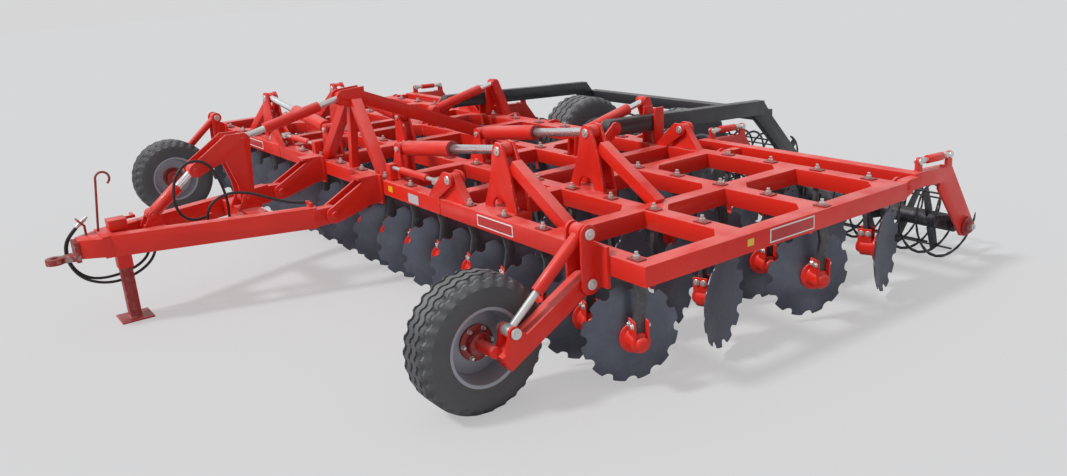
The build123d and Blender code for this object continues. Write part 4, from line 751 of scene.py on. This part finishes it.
# Lock screws of the wings: a zinc-plated rod in a red sleeve, from a red foot on the front beam
# to a zinc-plated block at the hinge lugs.
LOCK_START, LOCK_Y, LOCK_Z, LOCK_LENGTH = 0.700, -0.905, 0.868, 0.700
ROD_RADIUS, SLEEVE_RADIUS, SLEEVE_INSET = 0.014, 0.025, 0.16
screws = []
for sign in (1, -1):
    rod = turned("lock_rod", [(0, 0), (0, ROD_RADIUS), (LOCK_LENGTH, ROD_RADIUS), (LOCK_LENGTH, 0)], 20)
    half_sleeve = [(SLEEVE_INSET, ROD_RADIUS), (SLEEVE_INSET + 0.005, SLEEVE_RADIUS)]
    sleeve_end = [(LOCK_LENGTH - x, radius) for x, radius in half_sleeve[::-1]]
    sleeve = turned("lock_sleeve", half_sleeve + sleeve_end, 24)
    foot = shaped_block("lock_foot", (-0.035, 0.035), (-0.030, 0.030), (-0.098, 0.028), 0.006)
    eye_x = (LOCK_LENGTH - 0.050, LOCK_LENGTH + 0.030)
    eye = shaped_block("lock_eye", eye_x, (-0.034, 0.034), (-0.022, 0.022), 0.006)
    screw = assembled("lock_screw", [red_paint, zinc], (rod, 1), (sleeve, 0), (foot, 0), (eye, 1))
    screw.data.transform(Matrix.Translation((sign * LOCK_START, LOCK_Y, LOCK_Z)) @ facing_out(sign))
    screws.append(screw)
lock_screws = joined("wing_lock_screws", *screws)
bpy.ops.object.shade_smooth_by_angle(angle=SMOOTH_ANGLE)
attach(lock_screws, "centre")


# Plates and reflectors, all blank: dark red plates with white rims on the front beams and the
# left side beam, yellow reflectors and a silver label. Each lies flat on the painted tube.
silver_paint = finish("Silver paint", (0.66, 0.66, 0.67), (0.52, 0.52, 0.53), STEEL, DUST, rough=0.36,
                      metal=0.35)
plate_white = finish("White plate", (0.80, 0.80, 0.78), (0.70, 0.70, 0.68), (0.3, 0.3, 0.3), DUST,
                     rough=0.4, worn=0.08, dust_and_sheen_share=0.03)
plate_red = finish("Red plate", (0.50, 0.012, 0.010), (0.42, 0.010, 0.009), (0.3, 0.3, 0.3), DUST,
                   rough=0.35, coat=0.3)
reflector_yellow = finish("Yellow reflector", (0.85, 0.55, 0.03), (0.75, 0.45, 0.02), (0.5, 0.4, 0.1),
                          DUST, rough=0.25, dust_and_sheen_share=0.02, coat=0.5)
SIDE_RIM, SIDE_PLATE = (3.4996, 3.5016), (3.5010, 3.5022)
FRONT_RIM, FRONT_PLATE = (-0.9616, -0.9596), (-0.9624, -0.9610)
RIM_Z, PLATE_Z = (0.680, 0.754), (0.688, 0.746)
for name, x, y, z, made, body in (
        ("reflector_side", (3.4996, 3.5030), (-0.215, -0.165), (0.700, 0.740), reflector_yellow, "wing_left"),
        ("plate_side_rim", SIDE_RIM, (-0.030, 0.350), (0.676, 0.756), plate_white, "wing_left"),
        ("plate_side", SIDE_PLATE, (-0.022, 0.342), (0.684, 0.748), plate_red, "wing_left"),
        ("plate_front_rim_left", (1.945, 2.339), FRONT_RIM, RIM_Z, plate_white, "wing_left"),
        ("plate_front_left", (1.953, 2.331), FRONT_PLATE, PLATE_Z, plate_red, "wing_left"),
        ("plate_front_rim_right", (-2.508, -1.917), FRONT_RIM, RIM_Z, plate_white, "wing_right"),
        ("plate_front_right", (-2.500, -1.925), FRONT_PLATE, PLATE_Z, plate_red, "wing_right"),
        ("reflector_front", (0.725, 0.790), (-0.9626, -0.9596), (0.700, 0.742), reflector_yellow, "centre"),
        ("label_front", (1.029, 1.175), (-0.9620, -0.9596), (0.672, 0.738), silver_paint, "centre")):
    mark = shaped_block(name, x, y, z, 0.0004)
    mark.data.materials.append(made)
    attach(mark, body)


# Studio: a pale floor that keeps a soft shadow, an even pale surround, and soft daylight from
# the front and above.
FLOOR_COLOUR, PALE, SKY = (0.66, 0.66, 0.665, 1), (0.672, 0.672, 0.676, 1), (0.95, 0.97, 1.0, 1)
FLOOR_GLOW, SKY_STRENGTH, SUN_STRENGTH, SUN_WAY = 0.62, 0.55, 2.1, (0.25, 0.75, -0.95)
bpy.ops.object.select_all(action="DESELECT")
bpy.ops.mesh.primitive_plane_add(size=120)
floor = bpy.context.active_object
floor.name = "studio_floor"
floor_finish = bpy.data.materials.new("Studio floor")
floor_finish.use_nodes = True
nodes, links = floor_finish.node_tree.nodes, floor_finish.node_tree.links
nodes.clear()
output, light_path = nodes.new("ShaderNodeOutputMaterial"), nodes.new("ShaderNodeLightPath")
diffuse, glow = nodes.new("ShaderNodeBsdfDiffuse"), nodes.new("ShaderNodeEmission")
mix = nodes.new("ShaderNodeMixShader")
diffuse.inputs["Color"].default_value = FLOOR_COLOUR
glow.inputs["Color"].default_value = PALE
seen = combined(nodes, links, "MULTIPLY", light_path.outputs["Is Camera Ray"], FLOOR_GLOW)
links.new(seen, mix.inputs[0])
links.new(diffuse.outputs[0], mix.inputs[1])
links.new(glow.outputs[0], mix.inputs[2])
links.new(mix.outputs[0], output.inputs["Surface"])
floor.data.materials.append(floor_finish)

world = bpy.data.worlds.new("Pale surround")
world.use_nodes = True
bpy.context.scene.world = world
nodes, links = world.node_tree.nodes, world.node_tree.links
nodes.clear()
output, light_path = nodes.new("ShaderNodeOutputWorld"), nodes.new("ShaderNodeLightPath")
lit, pale = nodes.new("ShaderNodeBackground"), nodes.new("ShaderNodeBackground")
mix = nodes.new("ShaderNodeMixShader")
lit.inputs["Color"].default_value = SKY
lit.inputs["Strength"].default_value = SKY_STRENGTH
pale.inputs["Color"].default_value = PALE
seen = light_path.outputs["Is Camera Ray"]
for ray in ("Is Glossy Ray", "Is Transmission Ray"):
    seen = combined(nodes, links, "MAXIMUM", seen, light_path.outputs[ray])
links.new(seen, mix.inputs[0])
links.new(lit.outputs[0], mix.inputs[1])
links.new(pale.outputs[0], mix.inputs[2])
links.new(mix.outputs[0], output.inputs["Surface"])

sun_light = bpy.data.lights.new("Daylight", "SUN")
sun_light.energy = SUN_STRENGTH
sun_light.angle = radians(9)
sun = bpy.data.objects.new("Daylight", sun_light)
bpy.context.scene.collection.objects.link(sun)
sun.rotation_euler = Vector(SUN_WAY).to_track_quat("-Z", "Y").to_euler()


# Camera: the machine seen from its front left, a little above the frame, with a lens of about
# 31 mm held slightly askew. Its place and angles are those found for the photograph.
CAMERA_PLACE, TURN, TILT, ROLL = (6.67815, -3.8162, 2.2587), 55.32126, 17.15396, -3.91237
FOCAL_PIXELS, PICTURE_WIDTH, SENSOR_WIDTH, LENS_SHIFT = 907.595, 1067, 36, 0.00214
turn, tilt, roll = radians(TURN), radians(TILT), radians(ROLL)
ahead = Vector((-sin(turn) * cos(tilt), cos(turn) * cos(tilt), -sin(tilt)))
level = ahead.cross(Vector((0, 0, 1))).normalized()
upright = level.cross(ahead)
right = level * cos(roll) + upright * sin(roll)
above = upright * cos(roll) - level * sin(roll)
camera_data = bpy.data.cameras.new("Photograph")
camera_data.lens = FOCAL_PIXELS / PICTURE_WIDTH * SENSOR_WIDTH
camera_data.sensor_width = SENSOR_WIDTH
camera_data.shift_y = LENS_SHIFT
camera_data.clip_end = 200
camera = bpy.data.objects.new("Photograph", camera_data)
bpy.context.scene.collection.objects.link(camera)
camera.matrix_world = Matrix.Translation(CAMERA_PLACE) @ Matrix((right, above, -ahead)).transposed().to_4x4()
bpy.context.scene.camera = camera
bpy.context.scene.view_settings.view_transform = "Standard"
